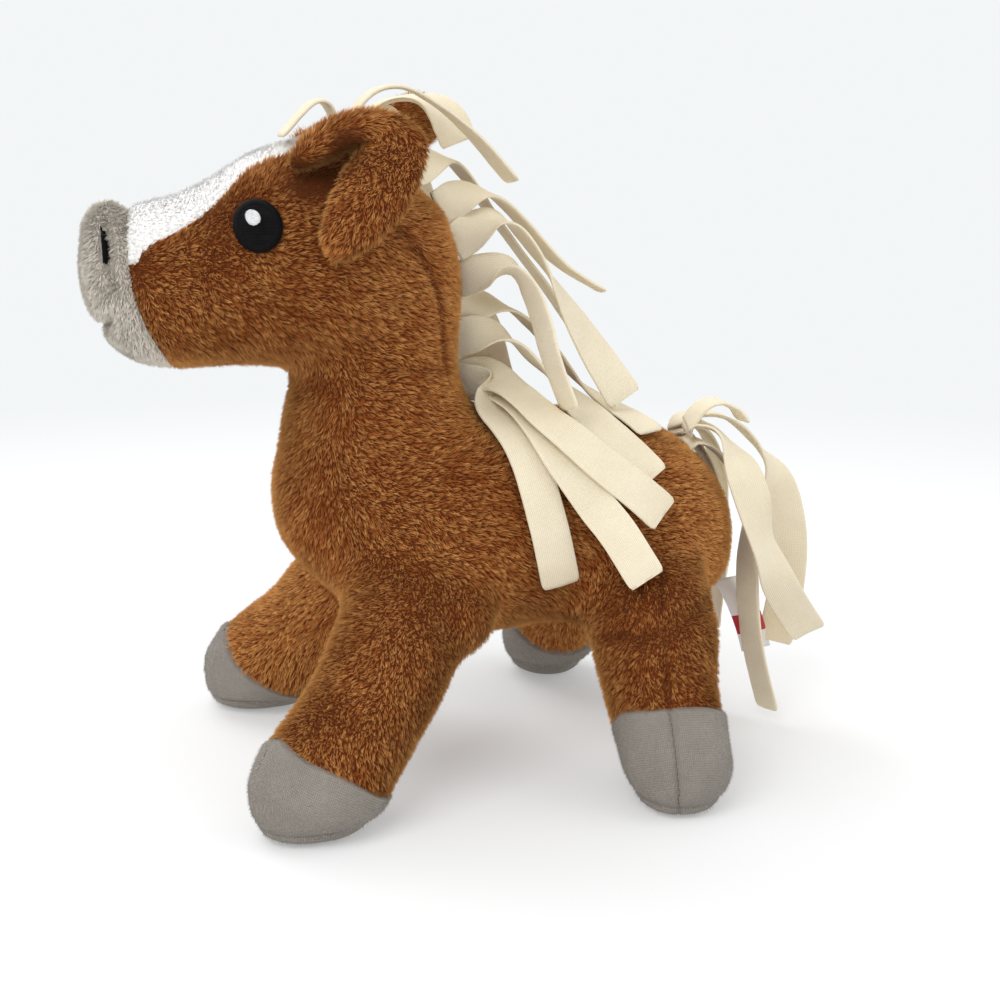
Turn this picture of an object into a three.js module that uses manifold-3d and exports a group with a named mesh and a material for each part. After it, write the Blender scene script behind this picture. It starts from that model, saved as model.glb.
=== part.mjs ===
// A stuffed plush horse, standing: sewn skins over stuffing, four legs, two ears, fringes of cloth strips.
// Millimetres, +Z up. The horse faces -X and its left side is -Y. X is measured from the barrel's middle.
import * as THREE from 'three';
import { mergeVertices } from 'three/addons/utils/BufferGeometryUtils.js';
import Module from 'manifold-3d';

const wasm = await Module();
wasm.setup();

// Driving sizes of the body
const bodyLength = 117.6;
const bodyDepth = 54;
const bodyWidth = 60;
const bodyHeight = 59.2; // of the barrel's middle above the ground
const skinThickness = 2.4; // cloth and pile together
const gap = 0.3; // between pieces that touch

// Neck and head
const neckLength = 42; // front to back, at the seam
const neckWidth = 43;
const neckReach = 33.4; // neck's middle ahead of the barrel's middle
const neckFoot = 69.7;
const neckHeight = 68;
const neckSeamHeight = 92.9;
const neckSeamTilt = 7; // degrees, down towards the back
const headLength = 89;
const headDepth = 56;
const headWidth = 56;
const headReach = 56.1;
const headSink = 13; // of the head's middle below the neck's top
const headHeight = neckFoot + neckHeight - headSink;

// Legs: hip and foot places, from the barrel's middle
const hipHeight = 51.7;
const hipSpread = 15.6;
const legThickness = 32;
const hipBallRadius = 14.4;
const hipClearance = 1.4; // round the ball and the limb, inside the torso
const frontHipReach = 26;
const frontFootReach = 59.6;
const frontFootSpread = 47.5;
const hindHipReach = 31;
const hindFootReach = 26.9;
const hindFootSpread = 56;
const legSwing = 12; // degrees each way
const soleThickness = 2.2;
const soleCut = 0.5; // depth of the flat on the ground

// Ears
const earLength = 44;
const earWidth = 30;
const earThickness = 5;
const earRoot = 3.6; // middle of the ear's rolled root above the head's skin
const sweptEarLean = 45; // degrees that the swept ear's width leans inward at the top

// Embroidery, fringes and label
const eyeWidth = 11.8;
const eyeHeight = 12.9;
const eyeThickness = 1;
const glintSize = 3.9;
const glintThickness = 0.6;
const nostrilHeight = 7.4;
const nostrilWidth = 0.7; // along the head, which is wider over the muzzle's curve
const nostrilThickness = 0.7;
const stripWidth = 8.6;
const stripThickness = 1;
const fringeReach = 60; // scale of the strips' routes
const fringeLayer = 1.35; // from one strip's middle to the next one's over it
const fringePly = 1.8; // from one ply's middle to the next one's, in the nape's seam
const labelWidth = 10;
const labelLength = 22;
const labelThickness = 0.7;
const cutMargin = 5; // overrun of every cutter

// Facets
const bodySides = 24;
const bodyRings = 16;
const headRings = 16;
const neckRings = 6;
const coreSides = 14;
const coreRings = 9;
const legSides = 14;
const legRings = 8;
const legCoreSides = 10;
const legCoreRings = 6;
const ballSides = 12;
const ballRings = 7;
const earSides = 14;
const earRings = 12;
const eyeSides = 18;
const smallSides = 10;
const stripSteps = 11;
const fullness = 2.3; // 2 is an ellipse, more is squarer

const axisX = new THREE.Vector3(1, 0, 0);
const axisY = new THREE.Vector3(0, 1, 0);
const axisZ = new THREE.Vector3(0, 0, 1);
const left = -1;
const right = 1;

// A smooth value from rows of [place, value, value, ...]
const smoothRow = (rows, place, column) => {
  const last = rows.length - 1;
  let i = 0;
  while (i < last - 1 && place > rows[i + 1][0]) i += 1;
  const slope = (k) => {
    const a = Math.max(k - 1, 0);
    const b = Math.min(k + 1, last);
    return (rows[b][column] - rows[a][column]) / (rows[b][0] - rows[a][0]);
  };
  const span = rows[i + 1][0] - rows[i][0];
  const t = THREE.MathUtils.clamp((place - rows[i][0]) / span, 0, 1);
  const ease = t * t * (3 - 2 * t);
  const bend = t * (1 - t);
  const start = slope(i) * span * bend * (1 - t);
  const end = slope(i + 1) * span * bend * t;
  return rows[i][column] * (1 - ease) + rows[i + 1][column] * ease + start - end;
};

const power = (value, exponent) => Math.sign(value) * Math.abs(value) ** exponent;
const roundEnd = (place, end) => (1 - Math.abs(2 * place - 1) ** end) ** (1 / end);
const spread = (i, count) => (1 - Math.cos((Math.PI * i) / count)) / 2;

// One point of a form: its frame at a place along it gives a middle and two half-axis vectors
const formPoint = (frame, angle) => {
  const c = power(Math.cos(angle), 2 / fullness);
  const s = power(Math.sin(angle), 2 / fullness);
  return frame.middle.clone().addScaledVector(frame.across, c).addScaledVector(frame.upward, s);
};

// The same point lifted off the form, out of its faces
const liftedPoint = (form, place, angle, lift) => {
  const step = 0.004;
  const here = formPoint(form(place), angle);
  const along = formPoint(form(place + step), angle).sub(formPoint(form(place - step), angle));
  const round = formPoint(form(place), angle + step).sub(formPoint(form(place), angle - step));
  const outward = along.cross(round).normalize();
  if (outward.dot(here.clone().sub(form(place).middle)) < 0) outward.negate();
  return { point: here.addScaledVector(outward, lift), outward };
};

// Rings of points become one closed body with flat ends, faces outwards
const closedForm = (rings) => {
  const sides = rings[0].length;
  const points = rings.flat();
  const middles = [rings[0], rings[rings.length - 1]].map((ring) => {
    const sum = new THREE.Vector3();
    ring.forEach((point) => sum.add(point));
    return sum.divideScalar(sides);
  });
  const faces = [];
  for (let i = 0; i < rings.length - 1; i += 1) {
    for (let j = 0; j < sides; j += 1) {
      const a = i * sides + j;
      const b = i * sides + ((j + 1) % sides);
      faces.push([a, b, a + sides], [b, b + sides, a + sides]);
    }
  }
  const firstMiddle = points.length;
  const lastRing = (rings.length - 1) * sides;
  for (let j = 0; j < sides; j += 1) {
    const k = (j + 1) % sides;
    faces.push([k, j, firstMiddle], [lastRing + j, lastRing + k, firstMiddle + 1]);
  }
  points.push(...middles);
  const volume = faces.reduce((sum, [a, b, c]) => sum + points[a].dot(points[b].clone().cross(points[c])), 0);
  if (volume < 0) faces.forEach((face) => face.reverse());
  const geometry = new THREE.BufferGeometry().setFromPoints(points);
  geometry.setIndex(faces.flat());
  return geometry;
};

const formGeometry = (form, places, sides) => closedForm(places.map((place) => {
  const frame = form(place);
  return Array.from({ length: sides }, (_, j) => formPoint(frame, (2 * Math.PI * j) / sides));
}));

// Solids for cutting and joining
const weld = 1e-4;
const solid = (geometry) => {
  const bare = geometry.clone();
  bare.deleteAttribute('normal');
  bare.deleteAttribute('uv');
  const merged = mergeVertices(bare, weld);
  return new wasm.Manifold(new wasm.Mesh({
    numProp: 3,
    vertProperties: merged.attributes.position.array,
    triVerts: new Uint32Array(merged.index.array),
  }));
};

const shape = (body) => {
  const mesh = body.getMesh();
  const geometry = new THREE.BufferGeometry();
  geometry.setAttribute('position', new THREE.BufferAttribute(new Float32Array(mesh.vertProperties), 3));
  geometry.setIndex(Array.from(mesh.triVerts));
  const loose = geometry.toNonIndexed();
  loose.computeVertexNormals();
  return loose;
};

const above = (body, normal, offset) => body.trimByPlane(normal.toArray(), offset);
const below = (body, normal, offset) => body.trimByPlane(normal.clone().negate().toArray(), -offset);
const sideOf = (body, hand) => above(body, axisY.clone().multiplyScalar(hand), gap / 2);
const mirrored = (geometry) => {
  const copy = geometry.index ? geometry.toNonIndexed() : geometry.clone();
  const position = copy.attributes.position;
  for (let i = 0; i < position.count; i += 3) {
    const corners = [0, 1, 2].map((k) => new THREE.Vector3().fromBufferAttribute(position, i + k));
    corners.forEach((corner) => { corner.y = -corner.y; });
    [corners[0], corners[2], corners[1]].forEach((corner, k) => position.setXYZ(i + k, ...corner));
  }
  copy.computeVertexNormals();
  return copy;
};

// Materials
const cloth = (color, roughness = 0.95) => new THREE.MeshStandardMaterial({ color, roughness, metalness: 0 });
const brownPlush = cloth(0x9c5a2a);
const whitePlush = cloth(0xf6f3ee);
const greyPlush = cloth(0xa39b94);
const greyKnit = cloth(0x9b9592);
const creamKnit = cloth(0xeee3cb);
const fibreFill = cloth(0xf4f4f2);
const blackThread = cloth(0x0d0d0e, 0.5);
const whiteThread = cloth(0xf8f8f8, 0.5);
const whiteSatin = cloth(0xf2f0ef, 0.4);

const horse = new THREE.Group();
const bodyGroup = new THREE.Group();
const headGroup = new THREE.Group();
const maneGroup = new THREE.Group();
const tailGroup = new THREE.Group();
horse.add(bodyGroup, headGroup, maneGroup, tailGroup);

const addPiece = (group, name, geometry, material) => {
  const mesh = new THREE.Mesh(geometry, material);
  mesh.name = name;
  group.add(mesh);
};

// Barrel: rows are the place from chest to rump, the rise of its middle, its depth and its width
const barrelShares = [
  [0, 0.31, 0.89, 0.73], [0.1, 0.24, 1, 0.87], [0.25, 0.09, 1.15, 0.97], [0.4, 0, 1.07, 1],
  [0.55, 0, 1.01, 1], [0.7, 0, 0.99, 1], [0.85, -0.07, 0.96, 0.98], [1, -0.28, 0.89, 0.87],
];
const chestEndShare = 3;
const rumpEndShare = 3.3;
const barrel = (wall) => (place) => {
  const end = roundEnd(place, place < 0.5 ? chestEndShare : rumpEndShare);
  const rise = smoothRow(barrelShares, place, 1) * (bodyDepth / 2);
  const depth = smoothRow(barrelShares, place, 2) * (bodyDepth / 2) - wall;
  const width = smoothRow(barrelShares, place, 3) * (bodyWidth / 2) - wall;
  return {
    middle: new THREE.Vector3((place - 0.5) * (bodyLength - 2 * wall), 0, bodyHeight + rise),
    across: axisY.clone().multiplyScalar(width * end),
    upward: axisZ.clone().multiplyScalar(depth * end),
  };
};

// Neck: rows are the place from its foot up, the step forward of its middle, its length and its width
const neckShares = [
  [0, 0, 1.15, 1.07], [0.235, -0.06, 1.12, 1.05], [0.37, -0.04, 0.99, 1], [0.485, -0.03, 0.98, 1],
  [0.63, -0.05, 1, 1.05], [0.78, 0, 1.05, 1.07], [1, 0.1, 0.95, 0.98],
];
const neck = (wall) => (place) => {
  const step = smoothRow(neckShares, place, 1) * (neckLength / 2);
  const length = smoothRow(neckShares, place, 2) * (neckLength / 2) - wall;
  const width = smoothRow(neckShares, place, 3) * (neckWidth / 2) - wall;
  return {
    middle: new THREE.Vector3(-neckReach - step, 0, neckFoot + wall + place * (neckHeight - 2 * wall)),
    across: axisX.clone().multiplyScalar(length),
    upward: axisY.clone().multiplyScalar(width),
  };
};

// Head: rows are the place from muzzle to nape, the rise of its middle, its depth and its width
const headShares = [
  [0, -0.125, 0.72, 0.84], [0.05, -0.09, 0.82, 0.87], [0.107, -0.165, 0.835, 0.88],
  [0.15, -0.2, 0.83, 0.87], [0.253, -0.185, 0.78, 0.84], [0.354, -0.1, 0.81, 0.93],
  [0.444, -0.01, 0.9, 0.99], [0.556, 0.02, 0.98, 1.02], [0.669, 0.055, 1.04, 1.02],
  [0.78, 0.01, 1, 0.98], [0.893, -0.1, 0.875, 0.92], [1, -0.27, 0.79, 0.88],
];
const headEndShare = 2.6;
const head = (wall) => (place) => {
  const end = roundEnd(place, headEndShare);
  const rise = smoothRow(headShares, place, 1) * (headDepth / 2);
  const depth = smoothRow(headShares, place, 2) * (headDepth / 2) - wall;
  const width = smoothRow(headShares, place, 3) * (headWidth / 2) - wall;
  return {
    middle: new THREE.Vector3(
      -headReach + (place - 0.5) * (headLength - 2 * wall), 0, headHeight + rise),
    across: axisY.clone().multiplyScalar(width * end),
    upward: axisZ.clone().multiplyScalar(depth * end),
  };
};

const capShare = 0.25; // of the first ring's width, left flat at a rounded end
const roundPlaces = (count) => Array.from({ length: count + 1 }, (_, i) => (
  THREE.MathUtils.clamp(spread(i, count), capShare / count ** 2, 1 - capShare / count ** 2)));
const evenPlaces = (count) => Array.from({ length: count + 1 }, (_, i) => i / count);

const seamNormal = axisZ.clone().applyAxisAngle(axisY, THREE.MathUtils.degToRad(neckSeamTilt));
const seamOffset = seamNormal.dot(new THREE.Vector3(-neckReach, 0, neckSeamHeight));

const barrelSolid = (wall, sides, rings) => solid(formGeometry(barrel(wall), roundPlaces(rings), sides));
const neckSolid = (wall, sides, rings) => solid(formGeometry(neck(wall), evenPlaces(rings), sides));
const headSolid = (wall, sides, rings) => solid(formGeometry(head(wall), roundPlaces(rings), sides));

const torsoOf = (wall, sides, rings, overrun = 0) => barrelSolid(wall, sides, rings)
  .add(below(neckSolid(wall, sides, neckRings), seamNormal, seamOffset - gap / 2 + overrun));
const skullOf = (wall, sides, rings, overrun = 0) => above(
  headSolid(wall, sides, rings).add(neckSolid(wall, sides, neckRings)),
  seamNormal, seamOffset + gap / 2 - overrun);

// Legs: rows are the line from hip to foot in shares of the way forward, outward and down,
// then the thickness along the horse and across it
const frontLegShares = [
  [0, 0, 0, 0, 0.86, 0.86], [0.22, 0.25, 0.405, 0.3, 0.97, 0.99], [0.45, 0.53, 0.664, 0.55, 0.92, 0.94],
  [0.7, 0.84, 0.888, 0.76, 0.97, 0.92], [0.9, 0.99, 0.983, 0.92, 0.86, 0.84], [1, 1, 1, 1, 0.56, 0.54],
];
const hindLegShares = [
  [0, 0, 0, 0, 0.86, 0.86], [0.22, 0.46, 0.354, 0.28, 1, 0.99], [0.45, 0.83, 0.599, 0.52, 0.88, 0.94],
  [0.7, 0.87, 0.822, 0.72, 0.8, 0.88], [0.9, 1, 0.969, 0.91, 0.75, 0.78], [1, 1, 1, 1, 0.5, 0.5],
];
const frontLeg = {
  name: 'front', shares: frontLegShares, hoofShare: 0.655,
  hip: new THREE.Vector3(-frontHipReach, -hipSpread, hipHeight),
  foot: new THREE.Vector3(-frontFootReach, -frontFootSpread, -soleCut),
};
const hindLeg = {
  name: 'hind', shares: hindLegShares, hoofShare: 0.58,
  hip: new THREE.Vector3(hindHipReach, -hipSpread, hipHeight),
  foot: new THREE.Vector3(hindFootReach, -hindFootSpread, -soleCut),
};

const limbMiddle = (leg, place) => {
  const way = leg.foot.clone().sub(leg.hip);
  return new THREE.Vector3(
    leg.hip.x + way.x * smoothRow(leg.shares, place, 1),
    leg.hip.y + way.y * smoothRow(leg.shares, place, 2),
    leg.hip.z + way.z * smoothRow(leg.shares, place, 3));
};
const tangentStep = 0.02;
const limb = (leg, wall, swing) => (place) => {
  const before = limbMiddle(leg, Math.max(place - tangentStep, 0));
  const after = limbMiddle(leg, Math.min(place + tangentStep, 1));
  const tangent = place > 1 - tangentStep ? axisZ.clone().negate() : after.sub(before).normalize();
  const forward = axisX.clone().addScaledVector(tangent, -tangent.x).normalize();
  const outward = tangent.clone().cross(forward);
  const middle = limbMiddle(leg, place);
  const swept = Math.tan(swing) * middle.distanceTo(leg.hip);
  const length = smoothRow(leg.shares, place, 4) * (legThickness / 2) - wall + swept;
  const width = smoothRow(leg.shares, place, 5) * (legThickness / 2) - wall;
  return { middle, across: forward.multiplyScalar(length), upward: outward.multiplyScalar(width) };
};
const ballAt = (leg, radius) => {
  const ball = new THREE.SphereGeometry(radius, ballSides, ballRings);
  ball.translate(leg.hip.x, leg.hip.y, leg.hip.z);
  return solid(ball);
};
const limbOf = (leg, wall, sides, rings) => above(
  solid(formGeometry(limb(leg, wall, 0), evenPlaces(rings), sides))
    .add(ballAt(leg, hipBallRadius - wall)), axisZ, 0);
const swingRoom = (leg) => solid(formGeometry(
  limb(leg, -hipClearance, THREE.MathUtils.degToRad(legSwing)), evenPlaces(legCoreRings), legSides))
  .add(ballAt(leg, hipBallRadius + hipClearance));

const leftRoom = swingRoom(frontLeg).add(swingRoom(hindLeg));
const rightRoom = solid(mirrored(shape(leftRoom)));
const legRoom = leftRoom.add(rightRoom);

// Torso: left and right skins over one core of stuffing
const torsoOuter = torsoOf(0, bodySides, bodyRings);
const torsoHollow = torsoOf(skinThickness, coreSides, coreRings, cutMargin);
const torsoSkin = torsoOuter.subtract(torsoHollow).subtract(legRoom);
const torsoCore = torsoOf(skinThickness + gap, coreSides, coreRings).subtract(legRoom);
addPiece(bodyGroup, 'torso_skin_left', shape(sideOf(torsoSkin, left)), brownPlush);
addPiece(bodyGroup, 'torso_skin_right', shape(sideOf(torsoSkin, right)), brownPlush);
addPiece(bodyGroup, 'torso_stuffing', shape(torsoCore), fibreFill);

// Head: the muzzle and the blaze are panels of their own, let into the two brown skins
const muzzleSeamShares = [[0.163, 0.82], [0.073, 0.11], [0.096, -0.54], [0.298, -1.1]];
const blazeShares = [
  [0.1, 0.285], [0.24, 0.265], [0.34, 0.25], [0.42, 0.2], [0.53, 0.2], [0.62, 0.16], [0.7, 0.1]];
const headFront = -headReach - headLength / 2;
const muzzleCutter = (shift) => {
  const seam = muzzleSeamShares.map(([a, b]) => [
    headFront + a * headLength + shift, headHeight + (b * headDepth) / 2]);
  const outline = new THREE.Shape();
  outline.moveTo(headFront - cutMargin, seam[0][1] + cutMargin);
  outline.lineTo(...seam[0]);
  outline.bezierCurveTo(...seam[1], ...seam[2], ...seam[3]);
  outline.lineTo(headFront - cutMargin, seam[3][1]);
  const depth = headWidth + 2 * cutMargin;
  const block = new THREE.ExtrudeGeometry(outline, { depth, bevelEnabled: false, curveSegments: 10 });
  block.rotateX(Math.PI / 2);
  block.translate(0, depth / 2, 0);
  return solid(block);
};
const blazeCutter = (grow) => {
  const edge = blazeShares.map(([a, b]) => new THREE.Vector2(
    headFront + a * headLength, b * headWidth + grow));
  edge[edge.length - 1].x += grow;
  const outline = new THREE.Shape([
    ...edge.map((point) => new THREE.Vector2(point.x, -point.y)),
    ...edge.reverse(),
  ]);
  const block = new THREE.ExtrudeGeometry(outline, { depth: headDepth, bevelEnabled: false });
  block.translate(0, 0, headHeight);
  return solid(block);
};
const skullOuter = skullOf(0, bodySides, headRings);
const skullSkin = skullOuter.subtract(skullOf(skinThickness, coreSides, coreRings, cutMargin));
const muzzleRoom = muzzleCutter(gap);
const skinAroundBlaze = skullSkin.subtract(muzzleRoom).subtract(blazeCutter(gap));
addPiece(headGroup, 'head_skin_left', shape(sideOf(skinAroundBlaze, left)), brownPlush);
addPiece(headGroup, 'head_skin_right', shape(sideOf(skinAroundBlaze, right)), brownPlush);
const blaze = skullSkin.subtract(muzzleRoom).intersect(blazeCutter(0));
addPiece(headGroup, 'blaze_panel', shape(blaze), whitePlush);
addPiece(headGroup, 'muzzle_cap', shape(skullSkin.intersect(muzzleCutter(0))), greyPlush);
const skullCore = skullOf(skinThickness + gap, coreSides, coreRings);
addPiece(headGroup, 'head_stuffing', shape(skullCore), fibreFill);

// Legs: brown sleeve, grey hoof and sole round a core of stuffing that ends in the hip ball
const limbPieces = (leg) => {
  const outer = limbOf(leg, 0, legSides, legRings);
  const inner = limbOf(leg, skinThickness, legCoreSides, legCoreRings);
  const skin = outer.subtract(inner);
  const ankle = limbMiddle(leg, leg.hoofShare);
  const shin = leg.foot.clone().sub(leg.hip).normalize();
  const hoofLine = shin.dot(ankle);
  const soleTop = soleThickness + gap;
  return {
    leg: below(skin, shin, hoofLine - gap / 2),
    hoof: above(above(skin, shin, hoofLine + gap / 2), axisZ, soleTop),
    sole: below(outer, axisZ, soleThickness),
    leg_stuffing: above(limbOf(leg, skinThickness + gap, legCoreSides, legCoreRings), axisZ, soleTop),
  };
};
const limbMaterials = { leg: brownPlush, hoof: greyKnit, sole: greyKnit, leg_stuffing: fibreFill };
[frontLeg, hindLeg].forEach((leg) => {
  const pieces = limbPieces(leg);
  ['left', 'right'].forEach((hand) => {
    const legGroup = new THREE.Group();
    Object.entries(pieces).forEach(([piece, body]) => {
      const geometry = hand === 'left' ? shape(body) : mirrored(shape(body));
      addPiece(legGroup, `${piece}_${leg.name}_${hand}`, geometry, limbMaterials[piece]);
    });
    horse.add(legGroup);
  });
});

// Ears: rows are the line from root to tip in shares of the ear's length back, outward and up,
// then its width and thickness, and for the left ear the turn of its width from level, in right angles.
// The left ear rises, bends over and hangs; the right one is swept back.
const foldedEarShares = [
  [0, -0.174, -0.048, -0.058, 0.08, 0.6, 1.42], [0.05, -0.136, -0.016, -0.016, 0.2, 1.2, 1.27],
  [0.15, -0.037, -0.006, 0.049, 0.28, 1.6, 1.21], [0.24, 0.072, -0.002, 0.1, 0.3, 1.72, 1.03],
  [0.32, 0.176, -0.004, 0.124, 0.33, 1.6, 0.69], [0.4, 0.265, -0.001, 0.1, 0.44, 1.4, 0.37],
  [0.47, 0.301, 0.046, 0.022, 0.59, 1.24, 0.14], [0.57, 0.258, 0.112, -0.074, 0.61, 1.2, 0.01],
  [0.68, 0.188, 0.173, -0.179, 0.55, 1.2, -0.07], [0.77, 0.121, 0.208, -0.274, 0.45, 1.2, -0.11],
  [0.86, 0.053, 0.238, -0.359, 0.32, 1.2, -0.15], [0.94, -0.004, 0.253, -0.437, 0.19, 1.04, -0.18],
  [1, -0.029, 0.246, -0.51, 0.05, 0.6, -0.2],
];
const sweptEarShares = [
  [0, 0, 0, 0, 0.4, 1.3], [0.1, 0.08, 0.03, -0.02, 0.43, 1.3], [0.22, 0.19, 0.07, -0.03, 0.48, 1.15],
  [0.34, 0.31, 0.1, 0, 0.53, 1.05], [0.46, 0.43, 0.12, 0.03, 0.6, 1], [0.6, 0.56, 0.13, 0.08, 0.66, 1],
  [0.74, 0.67, 0.13, 0.13, 0.68, 1], [0.88, 0.77, 0.12, 0.16, 0.62, 0.95], [1, 0.85, 0.1, 0.18, 0.3, 0.6],
];
const earPlaceShare = 0.61;
const earRootAngle = THREE.MathUtils.degToRad(44);
const headSurface = head(0);
const leftEarSeat = liftedPoint(headSurface, earPlaceShare, Math.PI - earRootAngle, earRoot).point;
const rightEarSeat = leftEarSeat.clone().setY(-leftEarSeat.y);
const earLine = (seat, shares, hand) => (place) => new THREE.Vector3(
  seat.x + smoothRow(shares, place, 1) * earLength,
  seat.y + hand * smoothRow(shares, place, 2) * earLength,
  seat.z + smoothRow(shares, place, 3) * earLength);
const ear = (line, shares, broadWay) => (place) => {
  const tangent = line(Math.min(place + tangentStep, 1)).sub(line(Math.max(place - tangentStep, 0)));
  tangent.normalize();
  const across = broadWay(place, tangent).normalize();
  const through = tangent.clone().cross(across).normalize();
  return {
    middle: line(place),
    across: across.multiplyScalar((smoothRow(shares, place, 4) * earWidth) / 2),
    upward: through.multiplyScalar((smoothRow(shares, place, 5) * earThickness) / 2),
  };
};
const foldedEarWay = (place) => (
  axisX.clone().applyAxisAngle(axisY, smoothRow(foldedEarShares, place, 6) * (-Math.PI / 2)));
const leanWay = axisZ.clone().applyAxisAngle(axisX, THREE.MathUtils.degToRad(sweptEarLean));
const sweptEarWay = (place, tangent) => leanWay.clone().addScaledVector(tangent, -tangent.dot(leanWay));
const leftEar = ear(earLine(leftEarSeat, foldedEarShares, left), foldedEarShares, foldedEarWay);
const rightEar = ear(earLine(rightEarSeat, sweptEarShares, right), sweptEarShares, sweptEarWay);
const earPlaces = evenPlaces(earRings);
addPiece(headGroup, 'ear_left', formGeometry(leftEar, earPlaces, earSides), brownPlush);
addPiece(headGroup, 'ear_right', formGeometry(rightEar, earPlaces, earSides), brownPlush);

// Embroidery lies on the head's side: a patch round a point, following the skin
const headSide = (x, z, hand, lift) => {
  const place = (x - headFront) / headLength;
  const frame = headSurface(place);
  const rise = THREE.MathUtils.clamp((z - frame.middle.z) / frame.upward.z, -1, 1);
  const angle = Math.asin(power(rise, fullness / 2));
  return liftedPoint(headSurface, place, hand === left ? Math.PI - angle : angle, lift).point;
};
const patchShares = [[0, 0.5], [0, 1], [0.75, 0.92], [1, 0.45]];
const stitchedPatch = (x, z, hand, width, height, lift, thickness, sides) => closedForm(
  patchShares.map(([rise, size]) => Array.from({ length: sides }, (_, j) => {
    const turn = (2 * Math.PI * j) / sides;
    return headSide(
      x + (Math.cos(turn) * size * width) / 2, z + (Math.sin(turn) * size * height) / 2,
      hand, lift + rise * thickness);
  })));
const eyePlaceShare = 0.421;
const eyeRiseShare = 0.32;
const glintBackShare = -0.06;
const glintUpShare = 0.11;
const nostrilPlaceShare = 0.052;
const nostrilRiseShare = 0.15;
const eyeX = headFront + eyePlaceShare * headLength;
const eyeZ = headHeight + (eyeRiseShare * headDepth) / 2;
[['left', left], ['right', right]].forEach(([side, hand]) => {
  addPiece(headGroup, `eye_${side}`,
    stitchedPatch(eyeX, eyeZ, hand, eyeWidth, eyeHeight, gap, eyeThickness, eyeSides), blackThread);
  addPiece(headGroup, `eye_glint_${side}`, stitchedPatch(
    eyeX + glintBackShare * eyeWidth, eyeZ + glintUpShare * eyeHeight, hand, glintSize, glintSize,
    2 * gap + eyeThickness, glintThickness, smallSides), whiteThread);
  addPiece(headGroup, `nostril_${side}`, stitchedPatch(
    headFront + nostrilPlaceShare * headLength, headHeight + (nostrilRiseShare * headDepth) / 2, hand,
    nostrilWidth, nostrilHeight, gap, nostrilThickness, smallSides), blackThread);
});

// A strip of knitted cloth along a route of {point, side}, side being the way its width lies
const cornerShares = [[-1, -1], [1, -1], [1, 1], [-1, 1]];
const strip = (route) => {
  const curve = new THREE.CatmullRomCurve3(route.map((stop) => stop.point), false, 'centripetal');
  const rings = evenPlaces(stripSteps).map((place) => {
    const along = place * (route.length - 1);
    const i = Math.min(Math.floor(along), route.length - 2);
    const side = route[i].side.clone().lerp(route[i + 1].side, along - i);
    const tangent = curve.getTangent(place);
    side.addScaledVector(tangent, -tangent.dot(side)).normalize();
    const through = tangent.clone().cross(side);
    return cornerShares.map(([a, b]) => curve.getPoint(place)
      .addScaledVector(side, (a * stripWidth) / 2)
      .addScaledVector(through, (b * stripThickness) / 2));
  });
  return closedForm(rings);
};

// Ways that a strip's width may lie
const lie = {
  seam: new THREE.Vector3(0.1, 0, 1),
  level: new THREE.Vector3(0, 1, 0),
  edge: new THREE.Vector3(-0.25, 1, 0.1),
  broad: new THREE.Vector3(0.86, 0.1, 0.5),
  slant: new THREE.Vector3(0.5, 0.6, 0.5),
  trail: new THREE.Vector3(0.9, -0.25, 0.35),
};

// Lying stretches follow the barrel: rows are the place along it, the angle up its side, the layer
const barrelSurface = barrel(0);
const restShare = 0.95; // half a strip and what its bend over the pile needs, in thicknesses
const restLift = gap + restShare * stripThickness;
const stopsPerRow = 3;
const lyingStops = (rows, before) => {
  const steps = evenPlaces(stopsPerRow * (rows.length - 1));
  let previous = before;
  let side = null;
  return steps.map((step) => {
    const along = step * (rows.length - 1);
    const i = Math.min(Math.floor(along), rows.length - 2);
    const t = along - i;
    const [place, angle, layer] = rows[i].map((value, k) => value * (1 - t) + rows[i + 1][k] * t);
    const turn = Math.PI - THREE.MathUtils.degToRad(angle);
    const { point, outward } = liftedPoint(barrelSurface, place, turn, restLift + layer * fringeLayer);
    const heading = point.clone().sub(previous);
    const next = heading.cross(outward).normalize();
    if (next.dot(side ?? lie.seam) < 0) next.negate();
    side = next;
    previous = point;
    return { point, side: next };
  });
};

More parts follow.
